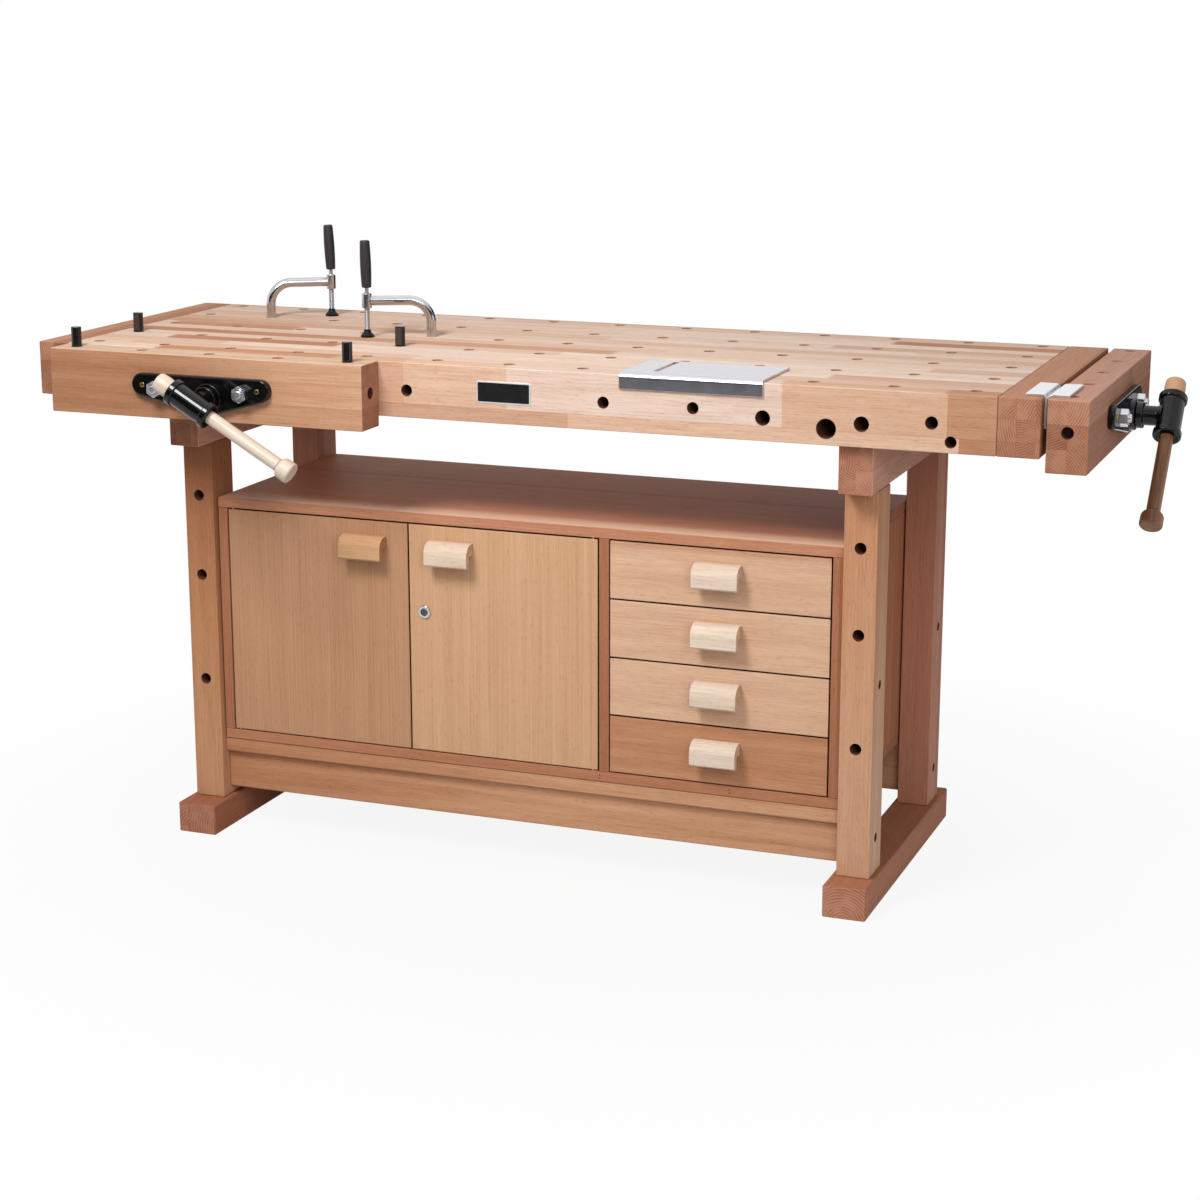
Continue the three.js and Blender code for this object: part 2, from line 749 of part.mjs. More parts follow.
// Drawers: equal fronts with a reveal all round, boxes that slide on runners
const frontPitch = (frontTop - frontBottom + reveal) / drawerCount;
const drawerLeft = dividerRight + reveal;
const drawerRight = drawersRight - reveal;
const boxBottom = (i) => frontBottom + i * frontPitch + drawerBoxLift;

// The runners on one wall, from x towards the drawers.
function runners(x, towards) {
  const end = x + towards * runnerWidth;
  const [low, high] = [Math.min(x, end), Math.max(x, end)];
  return Array.from({ length: drawerCount }, (_, i) =>
    block([low, cabinetFront + doorThickness + reveal, boxBottom(i) - seam - runnerHeight],
      [high, backFace - seam, boxBottom(i) - seam]));
}
piece(bench, "cabinet_divider", join(panel([dividerLeft, cabinetFront, wallBottom],
  [dividerRight, backFace - seam, wallTop]), ...runners(dividerRight - past, 1)), redBeech);
piece(bench, "cabinet_right_side", join(panel([drawersRight, cabinetFront, wallBottom],
  [cabinetRight, cabinetBack, wallTop]), ...runners(drawersRight + past, -1)), redBeech);

// A pull: a round-topped bar with a notch behind its lower edge for the fingers
function pull(x, z, face) {
  const [low, high] = [-pullHeight / 2, pullHeight / 2];
  const profile = new THREE.Shape();
  profile.moveTo(0, high);
  profile.lineTo(pullDepth - pullCrown, high);
  profile.quadraticCurveTo(pullDepth, high, pullDepth, high - pullCrown);
  profile.lineTo(pullDepth, low + pullChamfer);
  profile.lineTo(pullDepth - pullChamfer, low);
  profile.lineTo(pullDepth - pullLip, low);
  profile.lineTo(pullDepth - pullLip, low + pullNotchHeight);
  profile.lineTo(0, low + pullNotchHeight);
  const bar = new THREE.ExtrudeGeometry(profile, {
    depth: pullWidth,
    bevelEnabled: false,
    curveSegments: 8,
  });
  // The profile lies in the plane of depth and height, with the width along X.
  const turn = new Matrix4().makeBasis(
    new Vector3(0, -1, 0),
    new Vector3(0, 0, 1),
    new Vector3(-1, 0, 0),
  );
  bar.applyMatrix4(turn);
  return solidOf(bar.translate(x + pullWidth / 2, face - seam, z));
}

for (let i = 0; i < drawerCount; i++) {
  const number = drawerCount - i;
  const low = frontBottom + i * frontPitch;
  const high = low + frontPitch - reveal;
  const inner = cabinetFront + doorThickness;
  const [left, right] = [drawerLeft + drawerSideGap, drawerRight - drawerSideGap];
  const front = panel([drawerLeft, cabinetFront, low], [drawerRight, inner, high]);
  const box = block([left, inner - past, boxBottom(i)],
    [right, inner + drawerBoxDepth, high - drawerBoxDrop]);
  const room = block([left + drawerWall, inner, boxBottom(i) + drawerBottom],
    [right - drawerWall, inner + drawerBoxDepth - drawerWall, high + past]);
  piece(bench, `drawer_${number}`, join(front, cut(box, room)), paleBeech);
  piece(bench, `drawer_${number}_pull`,
    pull((drawerLeft + drawerRight) / 2, (low + high) / 2 + drawerPullRaise, cabinetFront),
    turnedWood);
}

// Doors, with pivot pins, pulls near the edges that meet, and a cam lock
const lockX = doors[1].x + lockEdge;
const lockZ = cabinetTopHeight - lockDrop;
for (const door of doors) {
  const leaf = panel([door.x, cabinetFront, frontBottom],
    [door.x + doorWidth, cabinetFront + doorThickness, frontTop]);
  const lockBore = round([lockX, cabinetFront - past, lockZ],
    [lockX, cabinetFront + doorThickness + past, lockZ], lockBarrelDiameter + 2 * slip);
  piece(bench, `${door.side}_door`, cut(join(leaf, ...pivots(door)), lockBore), paleBeech);
  const meeting = door.hinge ? door.x : door.x + doorWidth;
  const inward = door.hinge ? 1 : -1;
  piece(bench, `${door.side}_door_pull`,
    pull(meeting + inward * doorPullInset, cabinetTopHeight - doorPullDrop, cabinetFront),
    turnedWood);
}
function doorLock() {
  const at = (y) => [lockX, y, lockZ];
  const rear = cabinetFront + doorThickness + seam;
  const face = round(at(cabinetFront - seam - lockFaceHeight), at(cabinetFront - seam),
    lockFaceDiameter, smoothSides);
  const barrel = round(at(cabinetFront - seam - past), at(rear + camThickness), lockBarrelDiameter);
  const cam = block([lockX - camLength, rear, lockZ - camWidth / 2],
    [lockX, rear + camThickness, lockZ + camWidth / 2]);
  const keyway = block(
    [lockX - lockKeyway / 2, cabinetFront - 2 * lockFaceHeight, lockZ - lockFaceDiameter / 4],
    [lockX + lockKeyway / 2, cabinetFront, lockZ + lockFaceDiameter / 4],
  );
  return cut(join(face, barrel, cam), keyway);
}
piece(bench, "door_lock", doorLock(), chrome);

// Bench dogs, one pair in the front jaw and one in the second row of the top.
// Each has a flat on its head, and the pairs' flats face each other.
function benchDog(x, y, facing) {
  const head = topHeight + dogProud;
  const dog = round([x, y, head - dogLength], [x, y, head], dogDiameter);
  const flatY = y + facing * (dogDiameter / 2 - dogFlatDepth);
  const flat = block([x - dogDiameter, Math.min(flatY, flatY + facing * dogDiameter),
    head - dogFlatHeight],
  [x + dogDiameter, Math.max(flatY, flatY + facing * dogDiameter), head + past]);
  return cut(dog, flat);
}
const dogSides = ["right", "left"];
dogColumnsUsed.forEach((k, i) => {
  piece(bench, `jaw_dog_${dogSides[i]}`, benchDog(columnX(k), frontJawMiddle, 1), blackPlastic);
  piece(bench, `bench_dog_${dogSides[i]}`, benchDog(columnX(k), rowY(dogRowUsed), -1),
    blackPlastic);
});

// Holdfasts: a bent post in a dog hole, a boss at its end, a spindle with a grip, a pad
function holdfastArm() {
  const route = new THREE.CurvePath();
  const bend = [new Vector3(0, 0, armHeight - armBend), new Vector3(armBend, 0, armHeight)];
  const corner = new Vector3(0, 0, armHeight);
  route.add(new THREE.LineCurve3(new Vector3(0, 0, -postBelow), bend[0]));
  route.add(new THREE.CubicBezierCurve3(bend[0], bend[0].clone().lerp(corner, quarterCircle),
    bend[1].clone().lerp(corner, quarterCircle), bend[1]));
  route.add(new THREE.LineCurve3(bend[1], new Vector3(armReach, 0, armHeight)));
  const section = new THREE.Shape().absarc(0, 0, postDiameter / 2, 0, 2 * Math.PI);
  const tube = new THREE.ExtrudeGeometry(section, {
    steps: armSteps,
    curveSegments: roundSides / 2,
    extrudePath: route,
  });
  const [low, high] = [armHeight - armBossHeight / 2, armHeight + armBossHeight / 2];
  const boss = round([armReach, 0, low], [armReach, 0, high], armBossDiameter, smoothSides);
  const thread = round([armReach, 0, low - past], [armReach, 0, high + past],
    spindleDiameter + 2 * slip);
  const trim = block([armReach, -armReach, 0], [2 * armReach, armReach, 2 * armHeight]);
  return cut(join(cut(solidOf(tube), trim), boss), thread);
}

// Spindle with the moulded grip on its end. It stands in the pad's socket.
function holdfastSpindle() {
  const foot = seam + padHeight - padSocket + seam;
  const threadTop = armHeight + armBossHeight / 2 + past;
  const gripLow = armHeight + armBossHeight / 2 + gripStem;
  const gripHigh = gripLow + gripLength;
  const [thread, stem, grip] = [spindleDiameter / 2, gripStemDiameter / 2, gripDiameter / 2];
  const shaft = turned([
    [0, foot],
    [thread, foot],
    [thread, threadTop],
    [stem, threadTop + thread - stem],
    [stem, gripLow],
    [grip - gripBarrel - gripEase, gripLow],
    [grip - gripBarrel, gripLow + gripEase],
    [grip, gripLow + gripLength / 2],
    [grip - gripBarrel, gripHigh - gripEase],
    [grip - gripBarrel - gripEase, gripHigh],
    [0, gripHigh],
  ], roundSides);
  return solidOf(shaft.translate(armReach, 0, 0));
}

function holdfastPad() {
  const [base, neck] = [padDiameter / 2, padNeckDiameter / 2];
  const pad = turned([
    [0, seam],
    [base - padEase, seam],
    [base, seam + padEase],
    [base, seam + padRim],
    [neck, seam + padConeTop],
    [neck, seam + padHeight],
    [0, seam + padHeight],
  ]);
  const socket = round([armReach, 0, seam + padHeight - padSocket],
    [armReach, 0, 2 * padHeight], spindleDiameter + 2 * slip);
  return cut(solidOf(pad.translate(armReach, 0, 0)), socket);
}

for (const { name, column, row, heading } of holdfasts) {
  const holdfast = new THREE.Group();
  holdfast.position.set(columnX(column), rowY(row), topHeight);
  holdfast.rotation.z = THREE.MathUtils.degToRad(heading);
  bench.add(holdfast);
  piece(holdfast, `${name}_arm`, holdfastArm(), chrome);
  piece(holdfast, `${name}_spindle`, holdfastSpindle(), steel);
  piece(holdfast, `${name}_pad`, holdfastPad(), blackPlastic);
}

// The origin is the middle of the bench's footprint, on the floor.
const extent = new THREE.Box3().setFromObject(workbench);
const middle = extent.getCenter(new Vector3());
bench.position.set(-middle.x, -middle.y, -extent.min.z);

export default workbench;
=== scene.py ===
"""The looks of a joiner's workbench in beech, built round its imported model.

Lengths are in metres. The bench's front faces -Y and its tail vise is at +X. Places come from
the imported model's boxes and joints, and a size that they don't give is named below.
"""
import json
import math

import bmesh
import bpy
from mathutils import Matrix, Vector


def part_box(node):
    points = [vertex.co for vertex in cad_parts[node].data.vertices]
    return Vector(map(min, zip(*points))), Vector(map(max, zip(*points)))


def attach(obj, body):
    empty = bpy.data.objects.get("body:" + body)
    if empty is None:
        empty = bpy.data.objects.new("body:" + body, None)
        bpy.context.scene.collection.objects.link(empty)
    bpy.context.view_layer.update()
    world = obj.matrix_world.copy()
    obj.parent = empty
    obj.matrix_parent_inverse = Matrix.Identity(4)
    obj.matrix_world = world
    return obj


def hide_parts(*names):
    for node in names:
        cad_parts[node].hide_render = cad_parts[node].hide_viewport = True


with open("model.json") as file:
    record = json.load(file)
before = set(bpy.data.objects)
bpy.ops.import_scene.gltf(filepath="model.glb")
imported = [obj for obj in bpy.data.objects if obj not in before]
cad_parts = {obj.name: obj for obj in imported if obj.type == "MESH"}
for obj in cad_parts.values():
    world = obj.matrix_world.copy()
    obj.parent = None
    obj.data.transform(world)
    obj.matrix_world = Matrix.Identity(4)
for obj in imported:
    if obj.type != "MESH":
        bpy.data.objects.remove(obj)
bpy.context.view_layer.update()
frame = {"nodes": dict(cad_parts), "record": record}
record = frame["record"]
body_of = {node: body for body, nodes in record["behaviour"]["bodies"].items() for node in nodes}
joint_of = {joint["name"]: joint for joint in record["behaviour"]["joints"]}

MM = 0.001

# Fits
seam = 0.3 * MM
past = 1 * MM
timber_ease = 2 * MM
hole_ease = 0.7 * MM

# Top
slab_thickness = 42 * MM
front_apron = 85 * MM
rear_apron = 56 * MM
dog_hole = 19 * MM
dog_pitch = 133 * MM
dog_rows = 5
dog_columns = 13
row_setback = 42.5 * MM
column_setback = 43.3 * MM
# Peg holes in the front apron: distance from the top's left end, drop, diameter, all in mm
apron_pegs = ((726, 48, 19), (1083, 48, 19), (1239, 48, 19), (1358, 57, 24),
              (1464, 68, 32), (1522, 57, 24), (1635.5, 48, 20), (1667, 77, 18))
apron_peg_depth = 70 * MM
end_peg_depth = 28 * MM
end_peg_drop = 51 * MM
badge_start = 855.7 * MM
badge_size = Vector((98.3, 37.3)) * MM
badge_drop = 23.7 * MM
badge_border = 2.4 * MM
badge_border_height = 1.2 * MM
badge_face_height = 1.56 * MM
badge_corner = 4.5 * MM
badge_ease = 0.4 * MM

# Vise hardware. A rim is the radius of a rounded edge
rod_diameter = 20 * MM
rod_rim = 1.5 * MM
rod_spacing = 166 * MM
rod_drop = 58 * MM
bore_slip = 0.8 * MM
nut_across = 25.5 * MM
nut_height = 14 * MM
nut_washer = 21 * MM
nut_washer_height = 1.2 * MM
nut_washer_rim = 0.5 * MM
rod_tip = 14 * MM
rod_tip_height = 5 * MM
rod_tip_rim = 2 * MM
screw_diameter = 22 * MM
screw_pitch = 6 * MM
thread_depth = 2.4 * MM
screw_drop = 69 * MM
screw_offset = 20 * MM
plate_length = 268 * MM
plate_thickness = 12 * MM
plate_end_radius = 20 * MM
plate_end_drop = 53 * MM
plate_hub_radius = 30 * MM
plate_rounding = 3.2 * MM
plate_screw_reach = 112 * MM
plate_screw = 9 * MM
plate_screw_socket = 4 * MM
plate_screw_plug = 4.8 * MM
plate_screw_sink = 0.2 * MM
plate_screw_height = 1.6 * MM
plate_screw_rim = 0.7 * MM
boss_diameter = 52 * MM
boss_height = 10 * MM
boss_rim = 1.8 * MM
collar_diameter = 44 * MM
collar_height = 12 * MM
collar_rim = 2 * MM
neck_diameter = 33 * MM
neck_flare = 3 * MM
neck_curve = 9 * MM
neck_curve_rise = 10 * MM
hub_reach = 77 * MM
tube_diameter = 41 * MM
tube_length = 83 * MM
tube_rim = 1 * MM
ring_diameter = 47 * MM
ring_width = 12 * MM
ring_rim = 2.5 * MM
bar_diameter = 23 * MM
bar_head = 35 * MM
bar_head_length = 30 * MM
bar_head_bulge = 0.9 * MM
bar_head_belly = 0.55  # how far along the head it is widest
bar_head_rim = 4 * MM
bar_head_shoulder = 2 * MM
bar_knob = 38 * MM
bar_knob_length = 28 * MM
bar_knob_rim = 4 * MM
bar_knob_curve = 12 * MM
bar_free_length = 148 * MM

# Sheet metal
sheet_thickness = 4 * MM
sheet_bend = 9 * MM
sheet_inner_bend = 2.4 * MM
sheet_ease = 0.5 * MM
plate_slot_width = 9 * MM
plate_slot_start = 32 * MM
plate_slot_end = 134 * MM
plate_slot_column = 4

# Legs and cabinet
peg_drops = [drop * MM for drop in (274, 421, 617)]
bolt_heights = [height * MM for height in (120, 388)]
bolt_hole = 15 * MM
bolt_depth = 12 * MM
bolt_head = 13 * MM
bolt_head_height = 7 * MM
bolt_head_rim = 1 * MM
bolt_socket = 6 * MM
bolt_plug = 7 * MM
bolt_plug_height = 3 * MM
staple_places = (55.9 * MM, 294.2 * MM)
staple_wire = 2.4 * MM
staple_spread = 3 * MM
staple_proud = 0.15 * MM
staple_rim = 0.1 * MM
door_panel_inset = 10.5 * MM
panel_clearance = 2.6 * MM
shut_gap = 12 * MM

# Pulls and lock
pull_lip = 13 * MM
pull_notch = 20 * MM
pull_crown = 21 * MM
pull_chamfer = 3 * MM
pull_ease = 1.2 * MM
lock_face = 23 * MM
lock_face_height = 3 * MM
lock_face_rim = 1.2 * MM
lock_barrel = 15 * MM
lock_barrel_rim = 0.5 * MM
lock_barrel_start = 2.9 * MM
lock_plug = 14 * MM
lock_plug_slip = 0.4 * MM
lock_plug_face = 10.8 * MM
lock_plug_sink = 0.9 * MM
lock_plug_edge = 1.8 * MM
key_slot_width = 2.6 * MM
key_slot_height = 8 * MM
key_slot_depth = 2.4 * MM
key_slot_ease = 0.2 * MM
cam_thickness = 3 * MM
cam_inset = 5 * MM

# Dogs
dog_diameter = 18 * MM
dog_rim = 1.5 * MM
dog_flat_depth = 3 * MM
dog_flat_height = 34 * MM
facing_width = 12.4 * MM
facing_thickness = 1.4 * MM
facing_sink = 0.3 * MM
facing_foot = 1 * MM
facing_head = 1.6 * MM
facing_ease = 0.5 * MM

# Holdfasts
post_diameter = 17.6 * MM
post_below = 70 * MM
arm_height = 66 * MM
arm_bend = 40 * MM
arm_boss = 18 * MM
arm_boss_height = 27 * MM
arm_boss_rim = 1 * MM
arm_stop = 1.5 * MM
spindle_diameter = 10 * MM
spindle_pitch = 2 * MM
spindle_thread = 0.6 * MM
pad_diameter = 25 * MM
pad_rim = 1 * MM
pad_base = 3 * MM
pad_neck = 12.5 * MM
pad_neck_curve = 6 * MM
pad_neck_height = 12 * MM
pad_height = 14 * MM
pad_socket = 5 * MM
pad_socket_slip = 0.5 * MM
grip_diameter = 20 * MM
grip_barrel = 1.2 * MM
grip_end = 0.06  # the share of its length at either end that isn't barrelled
grip_steps = 12
grip_rim = 2.5 * MM
grip_length = 85 * MM
grip_stem = 10 * MM
grip_stem_diameter = 7 * MM
grip_stem_rim = 0.6 * MM
grip_stem_sunk = 4 * MM
grip_leans = {"left": 4 * MM, "right": 2 * MM}

# Figure of the wood
finger_pitch = 7 * MM
finger_length = 11 * MM
endless = 1e5 * MM  # a stave without finger joints
band_width = 22.2 * MM
line_width = 3.03 * MM
fleck_width = 1.786 * MM
fleck_stretch = 0.14
wave_length = 0.314  # between the rings of a wave texture whose scale is one
square_on = 0.7  # a face looks along an axis if that part of its normal is larger

# Places that several pieces share
left_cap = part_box("left_end_cap")
right_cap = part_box("right_end_cap")
front_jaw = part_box("front_vise_jaw")
tail_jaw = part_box("tail_vise_jaw")
top_height = left_cap[1].z
apron_bottom = left_cap[0].z
bench_left = left_cap[0].x
bench_front, bench_back = left_cap[0].y, left_cap[1].y
slab_left = left_cap[1].x + seam
slab_right = right_cap[0].x - seam
columns = [slab_right - column_setback - k * dog_pitch for k in range(dog_columns)]
rows = [bench_front + row_setback + r * dog_pitch for r in range(dog_rows)]
jaw_line = (front_jaw[0].y + front_jaw[1].y) / 2
tail_line = (tail_jaw[0].x + tail_jaw[1].x) / 2
door_low, door_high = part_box("left_door")
panel_back = door_high.y + panel_clearance
door_front = (panel_back, door_low.z + door_panel_inset, door_high.z - door_panel_inset)
cabinet_low, cabinet_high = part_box("cabinet_left_side")
drawer_front = (panel_back, cabinet_low.z, cabinet_high.z)
down = Vector((0, 0, -1))
backward = Vector((0, 1, 0))
rightward = Vector((1, 0, 0))

# Each vise has its own frame: X to the right as seen from outside, Y into the bench, Z up, with the
# origin on the jaw's outer face, at its middle, level with the top.
vise_places = {
    "front": Matrix.Translation(((front_jaw[0].x + front_jaw[1].x) / 2, front_jaw[0].y, top_height)),
    "tail": Matrix.Translation((tail_jaw[1].x, (tail_jaw[0].y + tail_jaw[1].y) / 2, top_height))
    @ Matrix.Rotation(math.pi / 2, 4, "Z"),
}
rod_sides = {"front": ("left", "right"), "tail": ("front", "rear")}

# Outlines are drawn in X and Y. Seen from the right they lie across the bench, seen from the front
# along it, and in both cases Y is up
from_right = Matrix(((0, 0, 1, 0), (1, 0, 0, 0), (0, 1, 0, 0), (0, 0, 0, 1)))
from_front = Matrix(((1, 0, 0, 0), (0, 0, -1, 0), (0, 1, 0, 0), (0, 0, 0, 1)))


def linear(code):
    """An sRGB hex colour as linear RGBA."""
    parts = [int(code[i:i + 2], 16) / 255 for i in (1, 3, 5)]
    return [p / 12.92 if p <= 0.04045 else ((p + 0.055) / 1.055) ** 2.4 for p in parts] + [1]


def add(tree, kind, inputs, **settings):
    """Adds one shader node, with its settings, values and links, and returns its outputs."""
    made = tree.nodes.new("ShaderNode" + kind)
    for name, value in settings.items():
        setattr(made, name, value)
    for key, value in inputs.items():
        if isinstance(value, bpy.types.NodeSocket):
            tree.links.new(value, made.inputs[key])
        else:
            made.inputs[key].default_value = value
    return made.outputs


def finish(name):
    """A new material, its node tree and its shader's inputs."""
    material = bpy.data.materials.new(name)
    material.use_nodes = True
    tree = material.node_tree
    return material, tree, tree.nodes["Principled BSDF"].inputs


# Wood

def beech(name, node, grain, staves, tones, ends, inset=(0, 0), run=0, rings=4, figure=0.18, seed=0,
          spread=1, drift=(0, 0, 0), picked=(), heart=0.09, drawn=0.05, lipping_and_lit_edge=None, lit_strip=None,
          lit_top=None, front=None, rough=(0.5, 0.66), gloss=0.06):
    """Beech glued up from staves, planed and oiled: silky, with fine lines along the grain, short
    dark flecks, a tone of its own in each stave, and year rings as arcs on its sawn ends.

    grain is the axis of the fibres, and staves the widths across the other two axes in mm. They are
    counted from the lower corner of a node's box, shifted by inset in mm. run is the length between
    finger joints in mm, and rings the spacing of the year rings in mm.

    A stick's place in the tones is its chance times spread, plus drift: so much for each metre along
    the grain, so much all over, and so much for each metre across. picked gives single sticks a tone:
    the two stave numbers, where they start and end along the grain, and the colour.

    heart is how far off a stick's heart may lie, and drawn how far the figure is stretched.
    lipping_and_lit_edge is the colour of the faces that look forward: a lipping on the shelf, and
    painted light on the lit front edges of the cabinet's sides. lit_top is painted light on the upper
    faces, and lit_strip the colour of painted light on a strip along the node's front, with the
    distances from it in mm between which it fades out.
    front is for a door or drawer, whose edges take painted shade while it is shut: how deep they go
    in Y, and between which heights its panel lies.
    """
    material, tree, shader = finish(name)
    place = add(tree, "TexCoord", {})
    axes = dict(zip("XYZ", add(tree, "SeparateXYZ", {0: place["Object"]})))
    faces = dict(zip("XYZ", add(tree, "SeparateXYZ", {0: place["Normal"]})))
    depth_in, facing_front = axes["Y"], faces["Y"]
    if front:
        # The sides of a drawer's box run front to back, so X and Y change places on them
        behind = add(tree, "Math", {0: depth_in, 1: front[0]}, operation="GREATER_THAN")[0]
        lateral = add(tree, "Math", {0: faces["X"]}, operation="ABSOLUTE")[0]
        upright = add(tree, "Math", {0: lateral, 1: square_on}, operation="GREATER_THAN")[0]
        on_side = add(tree, "Math", {0: behind, 1: upright}, operation="MULTIPLY")[0]
        for parts in (axes, faces):
            x, y = parts["X"], parts["Y"]
            parts["X"] = add(tree, "Mix", {0: on_side, 2: x, 3: y})[0]
            parts["Y"] = add(tree, "Mix", {0: on_side, 2: y, 3: x})[0]
    along = axes[grain]
    across = [axes[axis] for axis in "XYZ" if axis != grain]
    board = add(tree, "Math", {0: add(tree, "ObjectInfo", {})["Random"], 1: seed}, operation="ADD")[0]

    # Which stave, counted across the grain, and which length of it
    corner = dict(zip("XYZ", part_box(node)[0]))
    start = [corner[axis] + by * MM for axis, by in zip("XYZ".replace(grain, ""), inset)]
    count = [add(tree, "Math", {0: axis, 1: 1 / (width * MM), 2: -low / (width * MM)},
                 operation="MULTIPLY_ADD")[0] for axis, width, low in zip(across, staves, start)]
    row = [add(tree, "Math", {0: value}, operation="FLOOR")[0] for value in count]
    share = [add(tree, "Math", {0: value}, operation="FRACT")[0] for value in count]
    stave = add(tree, "CombineXYZ", {0: row[0], 1: row[1]})[0]
    shift = add(tree, "TexWhiteNoise", {"Vector": stave, "W": board}, noise_dimensions="4D")["Value"]
    teeth = add(tree, "Math", {0: across[0], 1: finger_pitch / 2}, operation="PINGPONG")[0]
    tooth = add(tree, "Math", {0: teeth, 1: 2 * finger_length / finger_pitch, 2: along},
                operation="MULTIPLY_ADD")[0]
    part = add(tree, "Math", {0: tooth, 1: 1 / (run * MM or endless), 2: shift},
               operation="MULTIPLY_ADD")[0]
    length = add(tree, "Math", {0: part}, operation="FLOOR")[0]
    stick = add(tree, "CombineXYZ", {0: row[0], 1: row[1], 2: length})[0]
    chance = add(tree, "TexWhiteNoise", {"Vector": stick, "W": board}, noise_dimensions="4D")

    # Year rings round a heart that lies at random beside each stick
    aside = add(tree, "VectorMath", {0: chance["Color"], 1: (0.5, 0.5, 0.5)}, operation="SUBTRACT")[0]
    away = add(tree, "VectorMath", {0: aside, 3: 2 * heart}, operation="SCALE")[0]
    slow = add(tree, "Math", {0: along, 1: drawn}, operation="MULTIPLY")[0]
    inside = [add(tree, "Math", {0: value, 1: width * MM, 2: -width * MM / 2},
                  operation="MULTIPLY_ADD")[0] for value, width in zip(share, staves)]
    fibre_place = add(tree, "CombineXYZ", {0: slow, 1: inside[0], 2: inside[1]})[0]
    ring_place = add(tree, "VectorMath", {0: fibre_place, 1: away}, operation="ADD")[0]
    year = add(tree, "TexWave", {"Vector": ring_place, "Scale": wave_length / (rings * MM), "Distortion": 3,
                                 "Detail": 2, "Detail Scale": 1.5},
               wave_type="RINGS", rings_direction="X", wave_profile="SAW")["Fac"]

    # Fibres: broad bands, fine lines and short flecks, all drawn out along the grain. Lines and
    # flecks are coarser than life, so that they show
    bands = add(tree, "TexNoise", {"Vector": ring_place, "Scale": 1 / band_width, "Detail": 2})["Fac"]
    lines = add(tree, "TexNoise", {"Vector": ring_place, "Scale": 1 / line_width, "Detail": 3,
                                   "Roughness": 0.6})["Fac"]
    stretch = [fleck_stretch if axis == grain else 1 for axis in "XYZ"]
    fleck_place = add(tree, "VectorMath", {0: place["Object"], 1: stretch}, operation="MULTIPLY")[0]
    flecks = add(tree, "TexNoise", {"Vector": fleck_place, "Scale": 1 / fleck_width, "Detail": 1})["Fac"]
    dashes = add(tree, "MapRange", {"Value": flecks, "From Min": 0.6, "From Max": 0.72})["Result"]

    # Dark seams where two staves meet
    edges = [add(tree, "Math", {0: value, 1: 0.5}, operation="PINGPONG")[0] for value in share]
    nearest = add(tree, "Math", {0: edges[0], 1: edges[1]}, operation="MINIMUM")[0]
    glue = add(tree, "MapRange", {"Value": nearest, "From Min": 0.004, "From Max": 0.018,
                                  "To Min": 1, "To Max": 0})["Result"]

    # The tone of each stick
    own = add(tree, "Math", {0: chance["Value"], 1: spread}, operation="MULTIPLY")[0]
    placed = add(tree, "Math", {0: along, 1: drift[0], 2: drift[1]}, operation="MULTIPLY_ADD")[0]
    sideways = add(tree, "Math", {0: across[0], 1: drift[2], 2: placed}, operation="MULTIPLY_ADD")[0]
    toned = add(tree, "Math", {0: own, 1: sideways}, operation="ADD")[0]
    ramp_colour = add(tree, "ValToRGB", {0: toned})
    ramp = ramp_colour[0].node.color_ramp
    while len(ramp.elements) < len(tones):
        ramp.elements.new(1)
    for element, (position, code) in zip(ramp.elements, tones):
        element.position = position
        element.color = linear(code)
    tone = ramp_colour["Color"]
    for first, second, low, high, code in picked:
        off = add(tree, "VectorMath", {0: stave, 1: (first, second, 0)}, operation="DISTANCE")["Value"]
        same = add(tree, "Math", {0: off, 1: 0.5}, operation="LESS_THAN")[0]
        within = add(tree, "Math", {0: tooth, 1: (low + high) / 2, 2: (high - low) / 2},
                     operation="COMPARE")[0]
        here = add(tree, "Math", {0: same, 1: within}, operation="MULTIPLY")[0]
        tone = add(tree, "Mix", {0: here, 6: tone, 7: linear(code)}, data_type="RGBA")[2]
    # Painted light on a strip along the front
    if lit_strip:
        code, low, high = lit_strip
        strip = add(tree, "MapRange", {"Value": axes["Y"], "From Min": corner["Y"] + low * MM,
                                       "From Max": corner["Y"] + high * MM, "To Min": 1,
                                       "To Max": 0})["Result"]
        tone = add(tree, "Mix", {0: strip, 6: tone, 7: linear(code)}, data_type="RGBA")[2]
    # The faces that look forward: a lipping, and on some boards painted light on a lit edge
    if lipping_and_lit_edge:
        ahead = add(tree, "Math", {0: faces["Y"], 1: -square_on}, operation="LESS_THAN")[0]
        tone = add(tree, "Mix", {0: ahead, 6: tone, 7: linear(lipping_and_lit_edge)}, data_type="RGBA")[2]
    # Painted light on the upper faces, as if lit from above
    if lit_top:
        upper = add(tree, "Math", {0: faces["Z"], 1: square_on}, operation="GREATER_THAN")[0]
        tone = add(tree, "Mix", {0: upper, 6: tone, 7: linear(lit_top)}, data_type="RGBA")[2]

    # Planed faces
    swing = add(tree, "MapRange", {"Value": bands, "From Min": 0.3, "From Max": 0.7,
                                   "To Min": 0, "To Max": figure})["Result"]
    lined = add(tree, "MapRange", {"Value": lines, "From Min": 0.35, "From Max": 0.75,
                                   "To Min": 0, "To Max": 0.24})["Result"]
    shade = add(tree, "Math", {0: swing, 1: lined}, operation="ADD")[0]
    for mark, depth in ((year, 0.1), (dashes, 0.2), (glue, 0.3)):
        shade = add(tree, "Math", {0: mark, 1: depth, 2: shade}, operation="MULTIPLY_ADD")[0]
    darker = add(tree, "Mix", {0: 1, 6: tone, 7: linear("#bd9070")},
                 data_type="RGBA", blend_type="MULTIPLY")[2]
    planed = add(tree, "Mix", {0: shade, 6: tone, 7: darker}, data_type="RGBA")[2]

